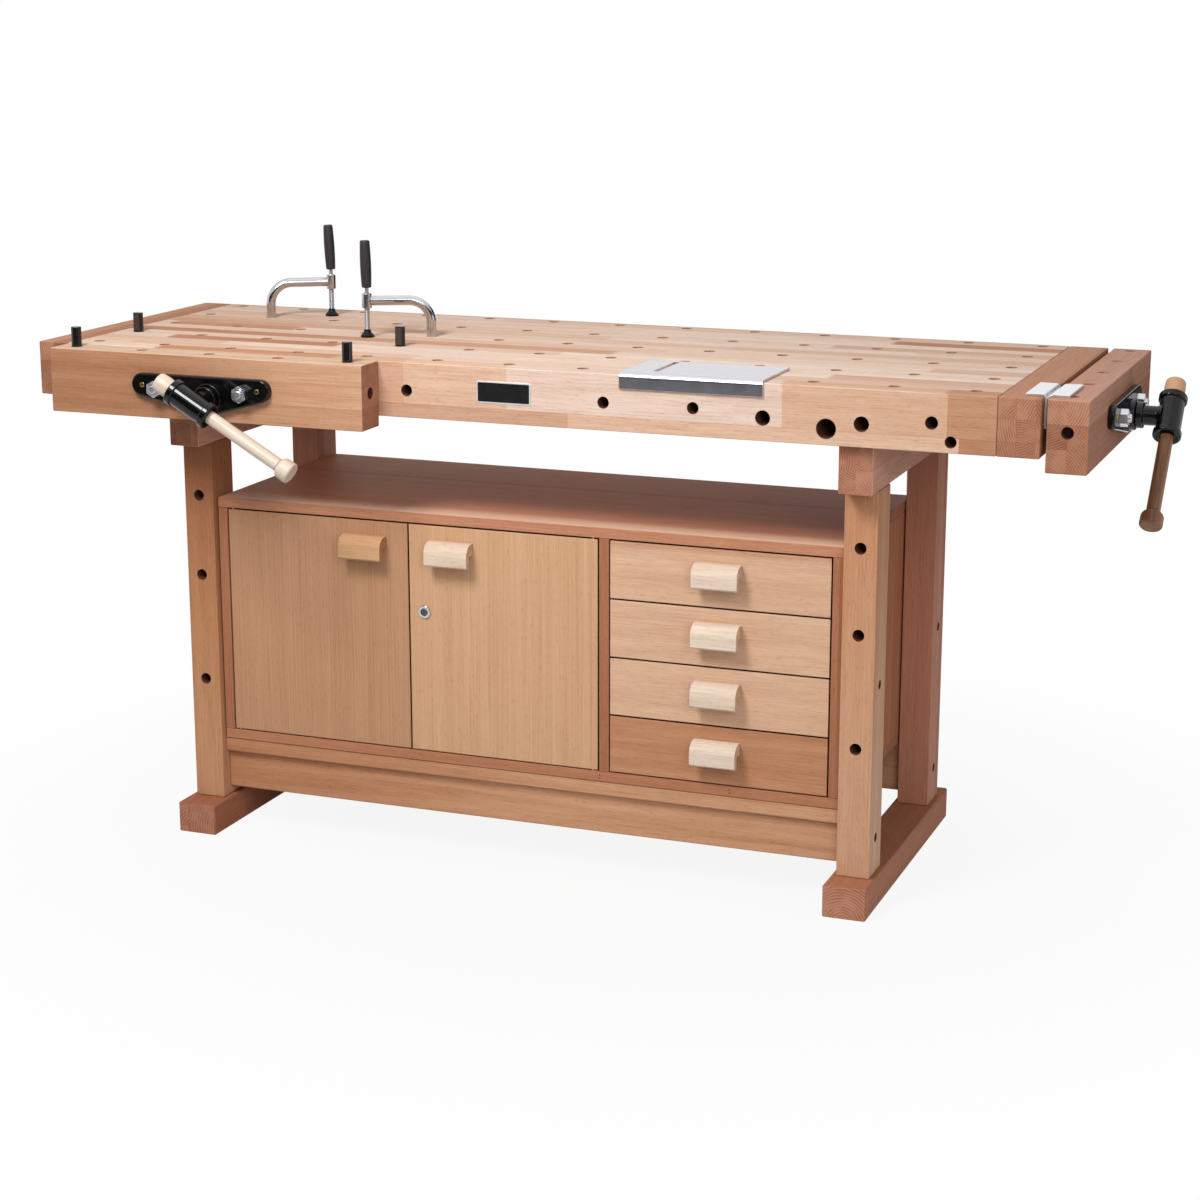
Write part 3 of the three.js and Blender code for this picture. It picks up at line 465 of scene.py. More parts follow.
    # Sawn ends: a flat tone for each block, and rings that are dark in some places and faint in others
    facing = add(tree, "Math", {0: faces[grain]}, operation="ABSOLUTE")[0]
    sawn = add(tree, "MapRange", {"Value": facing, "From Min": 0.7, "From Max": 0.9})["Result"]
    block = add(tree, "Mix", {0: chance["Value"], 6: linear(ends[0]), 7: linear(ends[1])},
                data_type="RGBA")[2]
    strength = add(tree, "MapRange", {"Value": bands, "From Min": 0.35, "From Max": 0.65,
                                      "To Min": 0.45, "To Max": 1})["Result"]
    ringed = add(tree, "Math", {0: year, 1: strength}, operation="MULTIPLY")[0]
    end_shade = add(tree, "Math", {0: glue, 1: 0.3, 2: ringed}, operation="MULTIPLY_ADD")[0]
    end_dark = add(tree, "Mix", {0: 1, 6: block, 7: linear("#bd9a86")},
                   data_type="RGBA", blend_type="MULTIPLY")[2]
    end = add(tree, "Mix", {0: end_shade, 6: block, 7: end_dark}, data_type="RGBA")[2]
    colour = add(tree, "Mix", {0: sawn, 6: planed, 7: end}, data_type="RGBA")[2]
    if front:
        depth, low, high = front
        flat = add(tree, "Math", {0: facing_front}, operation="ABSOLUTE")[0]
        turned_in = add(tree, "MapRange", {"Value": flat, "From Min": 0.75, "From Max": 0.95,
                                           "To Min": 1, "To Max": 0})["Result"]
        on_panel = add(tree, "Math", {0: axes["Z"], 1: (low + high) / 2, 2: (high - low) / 2},
                       operation="COMPARE")[0]
        hidden = add(tree, "Math", {0: 1, 1: on_panel}, operation="SUBTRACT")[0]
        either = add(tree, "Math", {0: turned_in, 1: hidden}, operation="MAXIMUM")[0]
        near = add(tree, "Math", {0: depth_in, 1: depth}, operation="LESS_THAN")[0]
        rim = add(tree, "Math", {0: either, 1: near}, operation="MULTIPLY")[0]
        # Painted shade: the edges that face a close neighbour across a shut gap turn dark brown, and so do
        # the parts outside the panel's heights
        open_air = add(tree, "AmbientOcclusion", {"Distance": shut_gap}, samples=8)["AO"]
        shut = add(tree, "MapRange", {"Value": open_air, "From Min": 0.5, "From Max": 0.8,
                                      "To Min": 1, "To Max": 0})["Result"]
        gap_shade = add(tree, "Math", {0: rim, 1: shut}, operation="MULTIPLY")[0]
        colour = add(tree, "Mix", {0: gap_shade, 6: colour, 7: linear("#1c120d")}, data_type="RGBA")[2]
    tree.links.new(colour, shader["Base Color"])
    dull = add(tree, "MapRange", {"Value": shade, "To Min": rough[0], "To Max": rough[1]})["Result"]
    tree.links.new(dull, shader["Roughness"])
    relief = add(tree, "Bump", {"Strength": 0.3, "Distance": 0.25 * MM, "Height": shade}, invert=True)
    tree.links.new(relief[0], shader["Normal"])
    shader["Specular IOR Level"].default_value = gloss
    return material


def turned_beech(name, pale, dark, head=None):
    """Beech turned on a lathe and lacquered: pale, with long fine lines down its length and a soft
    sheen. The lines run along the piece's own Z axis, coarser than life, so that they show. head is
    the colour of the head below the cross tube, paler as painted light from above."""
    material, tree, shader = finish(name)
    place = add(tree, "TexCoord", {})["Object"]
    stretch = (1, 1, 0.05)
    drawn = add(tree, "VectorMath", {0: place, 1: stretch}, operation="MULTIPLY")[0]
    lines = add(tree, "TexNoise", {"Vector": drawn, "Scale": 1 / (2.381 * MM), "Detail": 3})["Fac"]
    bands = add(tree, "TexNoise", {"Vector": drawn, "Scale": 1 / (14.29 * MM), "Detail": 1})["Fac"]
    mixed = add(tree, "Math", {0: lines, 1: bands}, operation="MULTIPLY")[0]
    depth = add(tree, "MapRange", {"Value": mixed, "From Min": 0.15, "From Max": 0.4})["Result"]
    colour = add(tree, "Mix", {0: depth, 6: linear(pale), 7: linear(dark)}, data_type="RGBA")[2]
    # Painted light: the head below the cross tube is paler, as if lit from above
    if head:
        height = add(tree, "SeparateXYZ", {0: place})["Z"]
        on_head = add(tree, "Math", {0: height, 1: -tube_length / 2}, operation="LESS_THAN")[0]
        colour = add(tree, "Mix", {0: on_head, 6: colour, 7: linear(head)}, data_type="RGBA")[2]
    tree.links.new(colour, shader["Base Color"])
    rough = add(tree, "MapRange", {"Value": lines, "To Min": 0.36, "To Max": 0.55})["Result"]
    tree.links.new(rough, shader["Roughness"])
    relief = add(tree, "Bump", {"Strength": 0.2, "Distance": 0.15 * MM, "Height": lines})
    tree.links.new(relief[0], shader["Normal"])
    shader["IOR"].default_value = 1.5
    return material


# Metal, enamel and plastic

def black_enamel():
    """Gloss enamel on cast iron: deep black with a faint orange peel that breaks up highlights.
    The peel is coarser than life, so that it shows."""
    material, tree, shader = finish("black gloss enamel on cast iron")
    place = add(tree, "TexCoord", {})["Object"]
    peel = add(tree, "TexNoise", {"Vector": place, "Scale": 1 / (4 * MM), "Detail": 1})["Fac"]
    dust = add(tree, "TexNoise", {"Vector": place, "Scale": 1 / (15 * MM), "Detail": 4})["Fac"]
    rough = add(tree, "MapRange", {"Value": dust, "From Min": 0.35, "From Max": 0.7,
                                   "To Min": 0.06, "To Max": 0.16})["Result"]
    colour = add(tree, "Mix", {0: dust, 6: linear("#050506"), 7: linear("#0e0d0e")},
                 data_type="RGBA")[2]
    tree.links.new(colour, shader["Base Color"])
    tree.links.new(rough, shader["Roughness"])
    relief = add(tree, "Bump", {"Strength": 0.12, "Distance": 0.3 * MM, "Height": peel})
    tree.links.new(relief[0], shader["Normal"])
    shader["IOR"].default_value = 1.5
    shader["Specular IOR Level"].default_value = 0.32
    return material


def metal(name, code, smooth, worn, scratch_mm, relief=0.05):
    """Bare or plated metal: its roughness drifts in smudges and fine scratches, which are drawn
    coarser than life, so that they show."""
    material, tree, shader = finish(name)
    place = add(tree, "TexCoord", {})["Object"]
    smudge = add(tree, "TexNoise", {"Vector": place, "Scale": 1 / (22 * MM), "Detail": 3})["Fac"]
    stretch = (0.12, 1, 1)
    drawn = add(tree, "VectorMath", {0: place, 1: stretch}, operation="MULTIPLY")[0]
    scratch = add(tree, "TexNoise", {"Vector": drawn, "Scale": 1 / (scratch_mm * MM),
                                     "Detail": 2})["Fac"]
    both = add(tree, "Math", {0: smudge, 1: scratch}, operation="MULTIPLY")[0]
    rough = add(tree, "MapRange", {"Value": both, "From Min": 0.15, "From Max": 0.4,
                                   "To Min": smooth, "To Max": worn})["Result"]
    dulled = 0.82
    dull = [dulled * part for part in linear(code)[:3]] + [1]
    colour = add(tree, "Mix", {0: scratch, 6: linear(code), 7: dull}, data_type="RGBA")[2]
    tree.links.new(colour, shader["Base Color"])
    tree.links.new(rough, shader["Roughness"])
    scored = add(tree, "Bump", {"Strength": relief, "Distance": 0.1 * MM, "Height": scratch})
    tree.links.new(scored[0], shader["Normal"])
    shader["Metallic"].default_value = 1
    return material


def dark_satin(name, code, rough_low, rough_high, grain_mm, gloss=0.5):
    """Smooth dark plastic, lacquer, rubber or leather: satin, with a fine grain that is drawn
    coarser than life, so that it shows."""
    material, tree, shader = finish(name)
    place = add(tree, "TexCoord", {})["Object"]
    grain = add(tree, "TexNoise", {"Vector": place, "Scale": 1 / (grain_mm * MM), "Detail": 2})["Fac"]
    worn = add(tree, "TexNoise", {"Vector": place, "Scale": 1 / (12 * MM), "Detail": 3})["Fac"]
    brightened = 1.9
    pale = [brightened * part for part in linear(code)[:3]] + [1]
    colour = add(tree, "Mix", {0: worn, 6: linear(code), 7: pale}, data_type="RGBA")[2]
    tree.links.new(colour, shader["Base Color"])
    rough = add(tree, "MapRange", {"Value": worn, "To Min": rough_low, "To Max": rough_high})["Result"]
    tree.links.new(rough, shader["Roughness"])
    relief = add(tree, "Bump", {"Strength": 0.25, "Distance": 0.15 * MM, "Height": grain})
    tree.links.new(relief[0], shader["Normal"])
    shader["IOR"].default_value = 1.5
    shader["Specular IOR Level"].default_value = gloss
    return material


red_ends = ("#ba8b71", "#9c6d56")
pale_tones = ((0, "#ecdacc"), (0.5, "#e5cdbb"), (0.84, "#dbbea8"), (0.93, "#cfa68b"), (1, "#bb8c70"))
# In the top, three long red staves at the left, a figured strip low in the front, and a rear apron
# that is warmer than the slab. The front apron's darker right end is painted shade where the light
# falls off, and its upper stave darkens in steps to the left as a painted shadow of the front jaw. The
# slab's drift darkens it towards the rear as painted shade.
top_picks = ((0, 1, -0.75, -0.40, "#c39578"), (3, 1, -0.80, -0.46, "#bd8c6f"),
             (7, 1, -0.89, -0.63, "#c4977b"), (0, 1, -0.40, -0.27, "#d3b096"),
             (0, 1, -0.27, -0.08, "#dabca5"), (0, 1, -0.08, 0.40, "#e0cdc0"),
             (0, 1, 0.40, 0.67, "#d6b59c"), (0, 1, 0.67, 0.92, "#c2997c"),
             (0, 0, -0.92, 0.03, "#cdaa92"), (0, 0, 0.03, 0.69, "#dcbea7"),
             (0, 0, 0.69, 0.92, "#b98c70"),
             (14, 1, -0.92, -0.1, "#d6b69e"), (14, 1, -0.1, 0.92, "#dcbfa9"),
             (14, 0, -0.92, 0.35, "#d9baa3"), (14, 0, 0.35, 0.92, "#cfac93"))
top_wood = beech("finger-jointed beech, oiled", "bench_top", "X", (42, 72), pale_tones, red_ends, run=560,
                 inset=(-0.5, -47.5), seed=4, spread=0.97, drift=(-0.08, 0, 0.3), picked=top_picks,
                 rough=(0.75, 0.9), gloss=0.02)
cap_wood = beech("red beech laminate, grain across", "left_end_cap", "Y", (30, 36),
                 ((0, "#c39377"), (0.5, "#b78769"), (1, "#a8755a")), red_ends,
                 inset=(-0.2, -11.5), gloss=0.04)
# The front jaw darkens towards the left, partly in its own wood and partly as painted shade where the light
# falls off; its upper face is paler as painted light from above
jaw_wood = beech("beech laminate of the front jaw", "front_vise_jaw", "X", (66, 37.5),
                 ((0.3, "#d2b499"), (0.65, "#c7a081"), (1, "#b08668")), ("#c39479", "#b08066"),
                 inset=(-0.9, -0.3), spread=0.3, drift=(-1.05, 0, 0), figure=0.3, lit_top="#dfcab3")
# The tail jaw's upper face is paler as painted light from above
tail_jaw_wood = beech("beech laminate of the tail jaw", "tail_vise_jaw", "Y", (33, 39),
                      ((0, "#bf9682"), (0.6, "#ae836e"), (1, "#9a6c59")), red_ends,
                      inset=(-0.2, -0.5), lit_top="#c89c88")
leg_staves, leg_inset = (61.6, 25.3), (-2.05, -0.4)
leg_woods = {
    "front_right_leg": beech("beech laminate of the front right leg", "front_right_leg", "Z", leg_staves,
                             ((0, "#d2ad8f"), (0.5, "#c39371"), (1, "#ad7757")), red_ends, leg_inset,
                             spread=0.3, drift=(0.7, -0.07, 0)),
    # The front left leg darkens towards its top as painted shade below the front jaw
    "front_left_leg": beech("redder beech of the front left leg", "front_left_leg", "Z", leg_staves,
                            ((0, "#c89c7b"), (0.45, "#b98762"), (1, "#8a543a")), red_ends, leg_inset,
                            spread=0.2, drift=(1.1, -0.1, 0)),
    "rear_right_leg": beech("red beech laminate of the rear right leg", "rear_right_leg", "Z", leg_staves,
                            ((0, "#c7937d"), (0.5, "#bd856c"), (1, "#aa725a")), red_ends, leg_inset),
    # The rear left leg is paler than the rear right one, as painted light from the back and left
    "rear_left_leg": beech("red beech laminate of the rear left leg", "rear_left_leg", "Z", leg_staves,
                           ((0, "#d3a38d"), (0.5, "#c8957e"), (1, "#b9846d")), red_ends, leg_inset),
}
foot_wood = beech("beech laminate of the feet", "right_foot", "Y", (100, 60),
                  ((0, "#b47e63"), (0.5, "#a87055"), (1, "#955d43")), ("#bd8a73", "#a97661"),
                  inset=(-10.1, -2), rings=5, gloss=0.03)
# The picked staves make the right bearer's outer face paler, as painted light on a face in the tail jaw's
# shade
bearer_wood = beech("beech laminate of the bearers", "right_bearer", "Y", (29, 41),
                    ((0, "#d6a896"), (0.5, "#c99985"), (1, "#b58270")), ("#b98870", "#9f6e58"),
                    inset=(-0.25, -0.2), picked=((1, 0, -1, 1, "#ddb29f"), (1, 1, -1, 1, "#d5a995")))
# The rails darken towards the left as painted shade where the light falls off
rail_wood = beech("beech rail, planed", "front_stretcher", "X", (300, 300),
                  ((0.1, "#c99d7b"), (0.6, "#b58260")), red_ends, inset=(-111.9, -62.5), spread=0.2,
                  drift=(-0.75, 0, 0), figure=0.3)
# The shelf's red tones are partly painted warm shade under the top. It turns paler to the left as painted
# light where the lamps leave it in shade, and the strip along its front is painted light where the lamp
# reaches past the top's edge
shelf_wood = beech("beech panel, grain along, with painted light and shade", "cabinet_top", "X", (300, 20),
                   ((0.05, "#d59878"), (0.4, "#c98b6c"), (0.8, "#b67759")), red_ends,
                   inset=(-0.4, -454.5), figure=0.1, spread=0.1, drift=(0.9, 0.45, 0),
                   lipping_and_lit_edge="#c9977a", lit_strip=("#e8c6ac", 8.6, 64.6), gloss=0.08)
bottom_wood = beech("red beech of the cabinet's bottom", "cabinet_bottom", "X", (300, 300),
                    ((0, "#b98467"), (1, "#b07a5c")), red_ends, inset=(-20.4, -169.8), gloss=0.05)
# The front edges take a paler tone of their own as painted light, as they face the lamps while the sides
# lie in shade
side_wood = beech("red beech panel, grain upright", "cabinet_left_side", "Z", (30, 58),
                  ((0, "#ba8263"), (1, "#aa7357")), red_ends, inset=(-7.85, -0.4), lipping_and_lit_edge="#b27f63",
                  gloss=0.05)
left_door_wood = beech("beech veneer of the left door", "left_door", "Z", (700, 300),
                       ((0, "#ba9070"), (1, "#b68b6b")), red_ends, inset=(-38.35, -110.4), heart=0.8,
                       drawn=0.012, figure=0.1, front=door_front)
right_door_wood = beech("beech veneer of the right door", "right_door", "Z", (700, 300),
                        ((0, "#cda784"), (1, "#caa37f")), red_ends, inset=(-46.6, -110.4), heart=0.8,
                        drawn=0.012, figure=0.1, front=door_front)
drawer_wood = beech("beech drawer fronts", "drawer_1", "X", (500, 500),
                    ((0, "#d6b397"), (1, "#d0aa8c")), red_ends, inset=(-110.4, -400.95), heart=0.5,
                    front=drawer_front)
low_drawer_wood = beech("red beech drawer front", "drawer_4", "X", (500, 500),
                        ((0, "#bd8c6a"), (1, "#b98868")), red_ends, inset=(-110.4, -90.3), heart=0.3,
                        figure=0.35, front=drawer_front)
pull_wood = beech("pale beech of the pulls", "drawer_1_pull", "X", (400, 400),
                  ((0, "#ded0c0"), (1, "#d8c6b2")), ("#d9c2aa", "#ceb498"), inset=(-31.1, -436.48),
                  figure=0.1)
door_pull_wood = beech("beech of the left door's pull", "left_door_pull", "X", (400, 400),
                       ((0, "#cba47e"), (1, "#c69e78")), ("#bd946e", "#b28862"), inset=(-31.1, -434.5),
                       figure=0.2)
bar_wood = turned_beech("turned pale beech, lacquered", "#cabbab", "#b9a189")
# The tail bar is the same pale beech as the front bar, darkened as painted shade, with its head paler as
# painted light
shaded_tail_bar_wood = turned_beech("turned beech, oiled, darkened as painted shade", "#865731", "#5d371c", head="#b98e69")


def drilled(name, pale, dark):
    """The walls of bored holes: dull end grain in patches of a pale and a dark tone, dark as
    painted shade inside the hole.
    """
    material, tree, shader = finish(name)
    place = add(tree, "TexCoord", {})["Object"]
    patches = add(tree, "TexNoise", {"Vector": place, "Scale": 1 / (6 * MM), "Detail": 2})["Fac"]
    colour = add(tree, "Mix", {0: patches, 6: linear(dark), 7: linear(pale)}, data_type="RGBA")[2]
    tree.links.new(colour, shader["Base Color"])
    shader["Roughness"].default_value = 0.9
    shader["Specular IOR Level"].default_value = 0.2
    return material


# The material numbers of bored faces, after the timber's own, and their finishes in that order
dog_walls, peg_walls = 1, 2
# The dog holes' walls are darker than the top partly as end grain and partly as painted shade; the peg
# holes' walls are dark brown as painted shade
bored_walls = [drilled("bored beech of the dog holes, with painted shade", "#b98f74", "#7d5641"),
               drilled("bored beech of the peg holes, with painted shade", "#6a4231", "#3e2418")]

enamel = black_enamel()
chrome = metal("polished chrome plate", "#cbccd0", 0.12, 0.17, 3, relief=0.004)
zinc = metal("zinc plate on the nuts", "#cfd1d6", 0.24, 0.4, 2)
steel = metal("bright drawn steel", "#b6b8bc", 0.34, 0.46, 1.5)
sheet_steel = metal("satin stainless sheet", "#d2d1d8", 0.2, 0.26, 1.2, relief=0.004)
white_plate = metal("bright anodised aluminium", "#f0eef0", 0.3, 0.45, 1.5)
brass = metal("brass screw heads", "#b3924f", 0.25, 0.4, 2)
dark_steel = metal("blackened bolt steel", "#3a3836", 0.35, 0.5, 2)
plug_metal = metal("dull nickel of the lock plug", "#6a6866", 0.25, 0.4, 2)
silver = metal("satin metal border", "#ececee", 0.5, 0.6, 2)
dog_lacquer = dark_satin("black lacquered steel of the dogs", "#0b0a0b", 0.1, 0.2, 3)
dog_facing = dark_satin("dark leather facing", "#241a15", 0.55, 0.8, 1.4)
grip_plastic = dark_satin("black moulded grip", "#171417", 0.45, 0.6, 1)
pad_rubber = dark_satin("black rubber of the pads", "#070607", 0.3, 0.45, 1, gloss=0.2)
badge_black = dark_satin("black lacquered badge face", "#0c0c0d", 0.2, 0.3, 2)


# Forms

def standing(origin, direction):
    """A place at origin whose Z axis runs along direction."""
    turn_to = Vector(direction).to_track_quat("Z", "Y")
    return Matrix.Translation(origin) @ turn_to.to_matrix().to_4x4()


def stitch(bm, low, high):
    """Joins two rings of points, either of which may be a single point."""
    count = max(len(low), len(high))
    for i in range(count):
        j = (i + 1) % count
        corners = [low[i % len(low)], low[j % len(low)], high[j % len(high)], high[i % len(high)]]
        bm.faces.new(list(dict.fromkeys(corners)))


def turned(bm, profile, place, sides=48, closed=False):
    """Adds a turned form: a profile of (radius, height) round the Z axis of place."""
    rings = []
    for radius, height in profile:
        angles = [2 * math.pi * i / sides for i in range(sides)] if radius else [0]
        rings.append([bm.verts.new(place @ Vector((radius * math.cos(a), radius * math.sin(a), height)))
                      for a in angles])
    for low, high in zip(rings, rings[1:]):
        stitch(bm, low, high)
    if closed:
        stitch(bm, rings[-1], rings[0])


def arc(centre, radius, start, end, steps=5):
    """Points on an arc of a profile, with its angles in degrees from outwards to upwards."""
    angles = [math.radians(start + (end - start) * i / steps) for i in range(steps + 1)]
    return [(centre[0] + radius * math.cos(a), centre[1] + radius * math.sin(a)) for a in angles]


def disc(diameter, low, high, ease):
    """The profile of a disc or bar with rounded rims."""
    inner = diameter / 2 - ease
    return ([(0, low)] + arc((inner, low + ease), ease, -90, 0)
            + arc((inner, high - ease), ease, 0, 90) + [(0, high)])


def sleeve(diameter, bore, low, high, ease):
    """The closed profile of a ring or tube with rounded outer rims."""
    inner = diameter / 2 - ease
    return ([(bore / 2, low)] + arc((inner, low + ease), ease, -90, 0)
            + arc((inner, high - ease), ease, 0, 90) + [(bore / 2, high)])


def socket_head(place, diameter, socket, plug, low, floor, high, rim, sides=48):
    """A screw or bolt head with a rounded rim, and a six-sided plug that is the floor of its socket."""
    bm = bmesh.new()
    turned(bm, sleeve(diameter, socket, low, high, rim), place, sides, closed=True)
    turned(bm, [(0, low), (plug / 2, low), (plug / 2, floor), (0, floor)], place, sides=6)
    return bm


def threaded(bm, place, diameter, pitch, depth, low, high, sides=28, cuts=8):
    """Adds a rod with a true helical thread between two heights on the Z axis of place."""
    rings = [[bm.verts.new(place @ Vector((0, 0, low)))]]
    steps = max(2, round((high - low) / pitch * cuts))
    for i in range(steps + 1):
        height = low + (high - low) * i / steps
        fade = min(1, (height - low) / pitch, (high - height) / pitch)
        ring = []
        for k in range(sides):
            turn_share = k / sides
            phase = (height / pitch - turn_share) % 1
            # Crest and root are flat for a quarter of the pitch each, with straight flanks between
            slope = abs(2 * phase - 1)
            flank = min(1, max(0, 2 * slope - 0.5))
            radius = diameter / 2 - depth * (1 - flank * fade)
            angle = 2 * math.pi * turn_share
            spot = Vector((radius * math.cos(angle), radius * math.sin(angle), height))
            ring.append(bm.verts.new(place @ spot))
        rings.append(ring)
    rings.append([bm.verts.new(place @ Vector((0, 0, high)))])
    for a, b in zip(rings, rings[1:]):
        stitch(bm, a, b)


def hex_nut(bm, place, across, height, columns=12):
    """Adds a hexagon nut that stands on the XY plane of place, its top chamfered in a cone."""
    flat = across / 2
    crown = 0.96 * flat
    fall = math.tan(math.radians(30))
    sixth = math.pi / 3
    top, side, foot = [], [], []
    for i in range(6 * columns):
        angle = 2 * math.pi * i / (6 * columns)
        off = (angle + sixth / 2) % sixth - sixth / 2
        reach = flat / math.cos(off)
        drop = (reach - crown) * fall
        spoke = Vector((math.cos(angle), math.sin(angle), 0))
        top.append(bm.verts.new(place @ (spoke * crown + Vector((0, 0, height)))))
        side.append(bm.verts.new(place @ (spoke * reach + Vector((0, 0, height - drop)))))
        foot.append(bm.verts.new(place @ (spoke * reach)))
    stitch(bm, foot, side)
    stitch(bm, side, top)
    bm.faces.new(top)
    bm.faces.new(foot[::-1])


def band(circles, inset=0, steps=96):
    """The outline that a taut band takes round circles of (x, y, radius)."""
    points = []
    for i in range(steps):
        angle = (i + 0.5) / steps * 2 * math.pi
        dx, dy = math.cos(angle), math.sin(angle)
        x, y, radius = max(circles, key=lambda c: c[0] * dx + c[1] * dy + c[2])
        points.append((x + (radius - inset) * dx, y + (radius - inset) * dy))
    return points


def lofted(bm, place, layers):
    """Adds a solid through outlines of equal length, each with its height, closed at both ends."""
    rings = [[bm.verts.new(place @ Vector((x, y, height))) for x, y in outline]
             for outline, height in layers]
    for low, high in zip(rings, rings[1:]):
        stitch(bm, low, high)
    bm.faces.new(rings[0][::-1])
    bm.faces.new(rings[-1])


def eased(bm, ease, above=40):
    """Rounds the edges that stand out and are sharper than an angle in degrees."""
    bmesh.ops.recalc_face_normals(bm, faces=bm.faces[:])
    bm.normal_update()
    sharp = [edge for edge in bm.edges if edge.is_convex
             and math.degrees(edge.calc_face_angle(0)) > above]
    bmesh.ops.bevel(bm, geom=sharp, offset=ease, segments=3, profile=0.5, affect="EDGES")


def block(bm, low, high):
    """Adds a plain block between two corners."""
    size = Matrix.Diagonal((*(high - low), 1))
    bmesh.ops.create_cube(bm, size=1, matrix=Matrix.Translation((low + high) / 2) @ size)


def board(low, high, ease=timber_ease):
    """A planed timber between two corners, with its edges rounded."""
    bm = bmesh.new()
    block(bm, low, high)
    eased(bm, ease)
    return bm


def hole(bm, mouth, inward, diameter, depth, through=True):
    """Adds a cutter for a round hole with an eased mouth, at both ends if it goes through."""
    radius = diameter / 2
    wide = radius + hole_ease + past
    profile = [(0, -past), (wide, -past), (radius, hole_ease)]
    if through:
        profile += [(radius, depth - hole_ease), (wide, depth + past), (0, depth + past)]
    else:
        profile += [(radius, depth), (0, depth)]
    turned(bm, profile, standing(mouth, inward), sides=32)


def cut(bm, tool, walls=0):
    """Cuts the closed forms of one mesh out of another. walls is the material number of the cut."""
    shapes = []
    for face in tool.faces:
        face.material_index = walls
    for form in (bm, tool):
        bmesh.ops.recalc_face_normals(form, faces=form.faces[:])
        shape = bpy.data.objects.new("blank", bpy.data.meshes.new("blank"))
        for number in range(1 + len(bored_walls)):
            shape.data.materials.append(None)
        form.to_mesh(shape.data)
        form.free()
        bpy.context.collection.objects.link(shape)
        shapes.append(shape)
    step = shapes[0].modifiers.new("cut", "BOOLEAN")
    step.operation = "DIFFERENCE"
    step.solver = "EXACT"
    step.object = shapes[1]
    result = shapes[0].evaluated_get(bpy.context.evaluated_depsgraph_get())
    made = bmesh.new()
    made.from_mesh(result.to_mesh())
    result.to_mesh_clear()
    for shape in shapes:
        bpy.data.objects.remove(shape)
    return made


def dress(name, bm, material, node, shown_for=(), place=None, crease=35):
    """Makes a piece of a mesh, smooth between its edges. It rides with a node and may stand for some."""
    bmesh.ops.recalc_face_normals(bm, faces=bm.faces[:])
    mesh = bpy.data.meshes.new(name)
    bm.to_mesh(mesh)
    bm.free()
    mesh.shade_smooth()
    mesh.set_sharp_from_angle(angle=math.radians(crease))
    mesh.materials.append(material)
    if any(face.material_index for face in mesh.polygons):
        for walls in bored_walls:
            mesh.materials.append(walls)
    piece = bpy.data.objects.new(name, mesh)
    bpy.context.collection.objects.link(piece)
    if place:
        piece.matrix_world = place
    piece.modifiers.new("even shading", "WEIGHTED_NORMAL").keep_sharp = True
    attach(piece, body_of[node])
    if shown_for:
        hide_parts(*shown_for)
    return piece


def vise_bores(vise, start, depth):
    """Cutters for the two rods and the screw, from a distance behind the jaw's face."""
    bm = bmesh.new()
    place = vise_places[vise]
    inward = place.to_3x3() @ backward
    spots = [(-rod_spacing / 2, rod_drop, rod_diameter), (rod_spacing / 2, rod_drop, rod_diameter),
             (screw_offset, screw_drop, screw_diameter)]
    for x, drop, diameter in spots:
        hole(bm, place @ Vector((x, start, -drop)), inward, diameter + 2 * bore_slip, depth)
    return bm


# Top and jaws

def laminated_top():
    """The slab with its front and rear aprons, bored for dogs, pegs and the front vise."""
    slab_bottom = top_height - slab_thickness
    inner_front, inner_back = bench_front + front_apron, bench_back - rear_apron
    section = [(bench_front, apron_bottom), (inner_front, apron_bottom), (inner_front, slab_bottom),
               (inner_back, slab_bottom), (inner_back, apron_bottom), (bench_back, apron_bottom),
               (bench_back, top_height), (bench_front, top_height)]
    bm = bmesh.new()
    lofted(bm, from_right, [(section, slab_left), (section, slab_right)])
    eased(bm, timber_ease)
    dogs = bmesh.new()
    for row, y in enumerate(rows):
        edge_row = row in (0, dog_rows - 1)
        depth = top_height - apron_bottom if edge_row else slab_thickness
        for x in columns:
            hole(dogs, Vector((x, y, top_height)), down, dog_hole, depth)
    pegs = bmesh.new()
    for x, drop, diameter in apron_pegs:
        mouth = Vector((bench_left + x * MM, bench_front, top_height - drop * MM))
        hole(pegs, mouth, backward, diameter * MM, apron_peg_depth, through=False)
    bores = vise_bores("front", bench_front - front_jaw[0].y, front_apron)
    for tool, walls in ((dogs, dog_walls), (pegs, peg_walls), (bores, peg_walls)):
        bm = cut(bm, tool, walls)
    dress("laminated_top", bm, top_wood, "bench_top", ["bench_top"])


def end_caps():
    """A board across each end of the slab. The tail vise runs through the right one."""
    dress("left_cap_board", board(*left_cap), cap_wood, "left_end_cap", ["left_end_cap"])
    bores = vise_bores("tail", tail_jaw[1].x - right_cap[1].x, right_cap[1].x - right_cap[0].x)
    dress("right_cap_board", cut(board(*right_cap), bores, peg_walls), cap_wood, "right_end_cap",
          ["right_end_cap"])


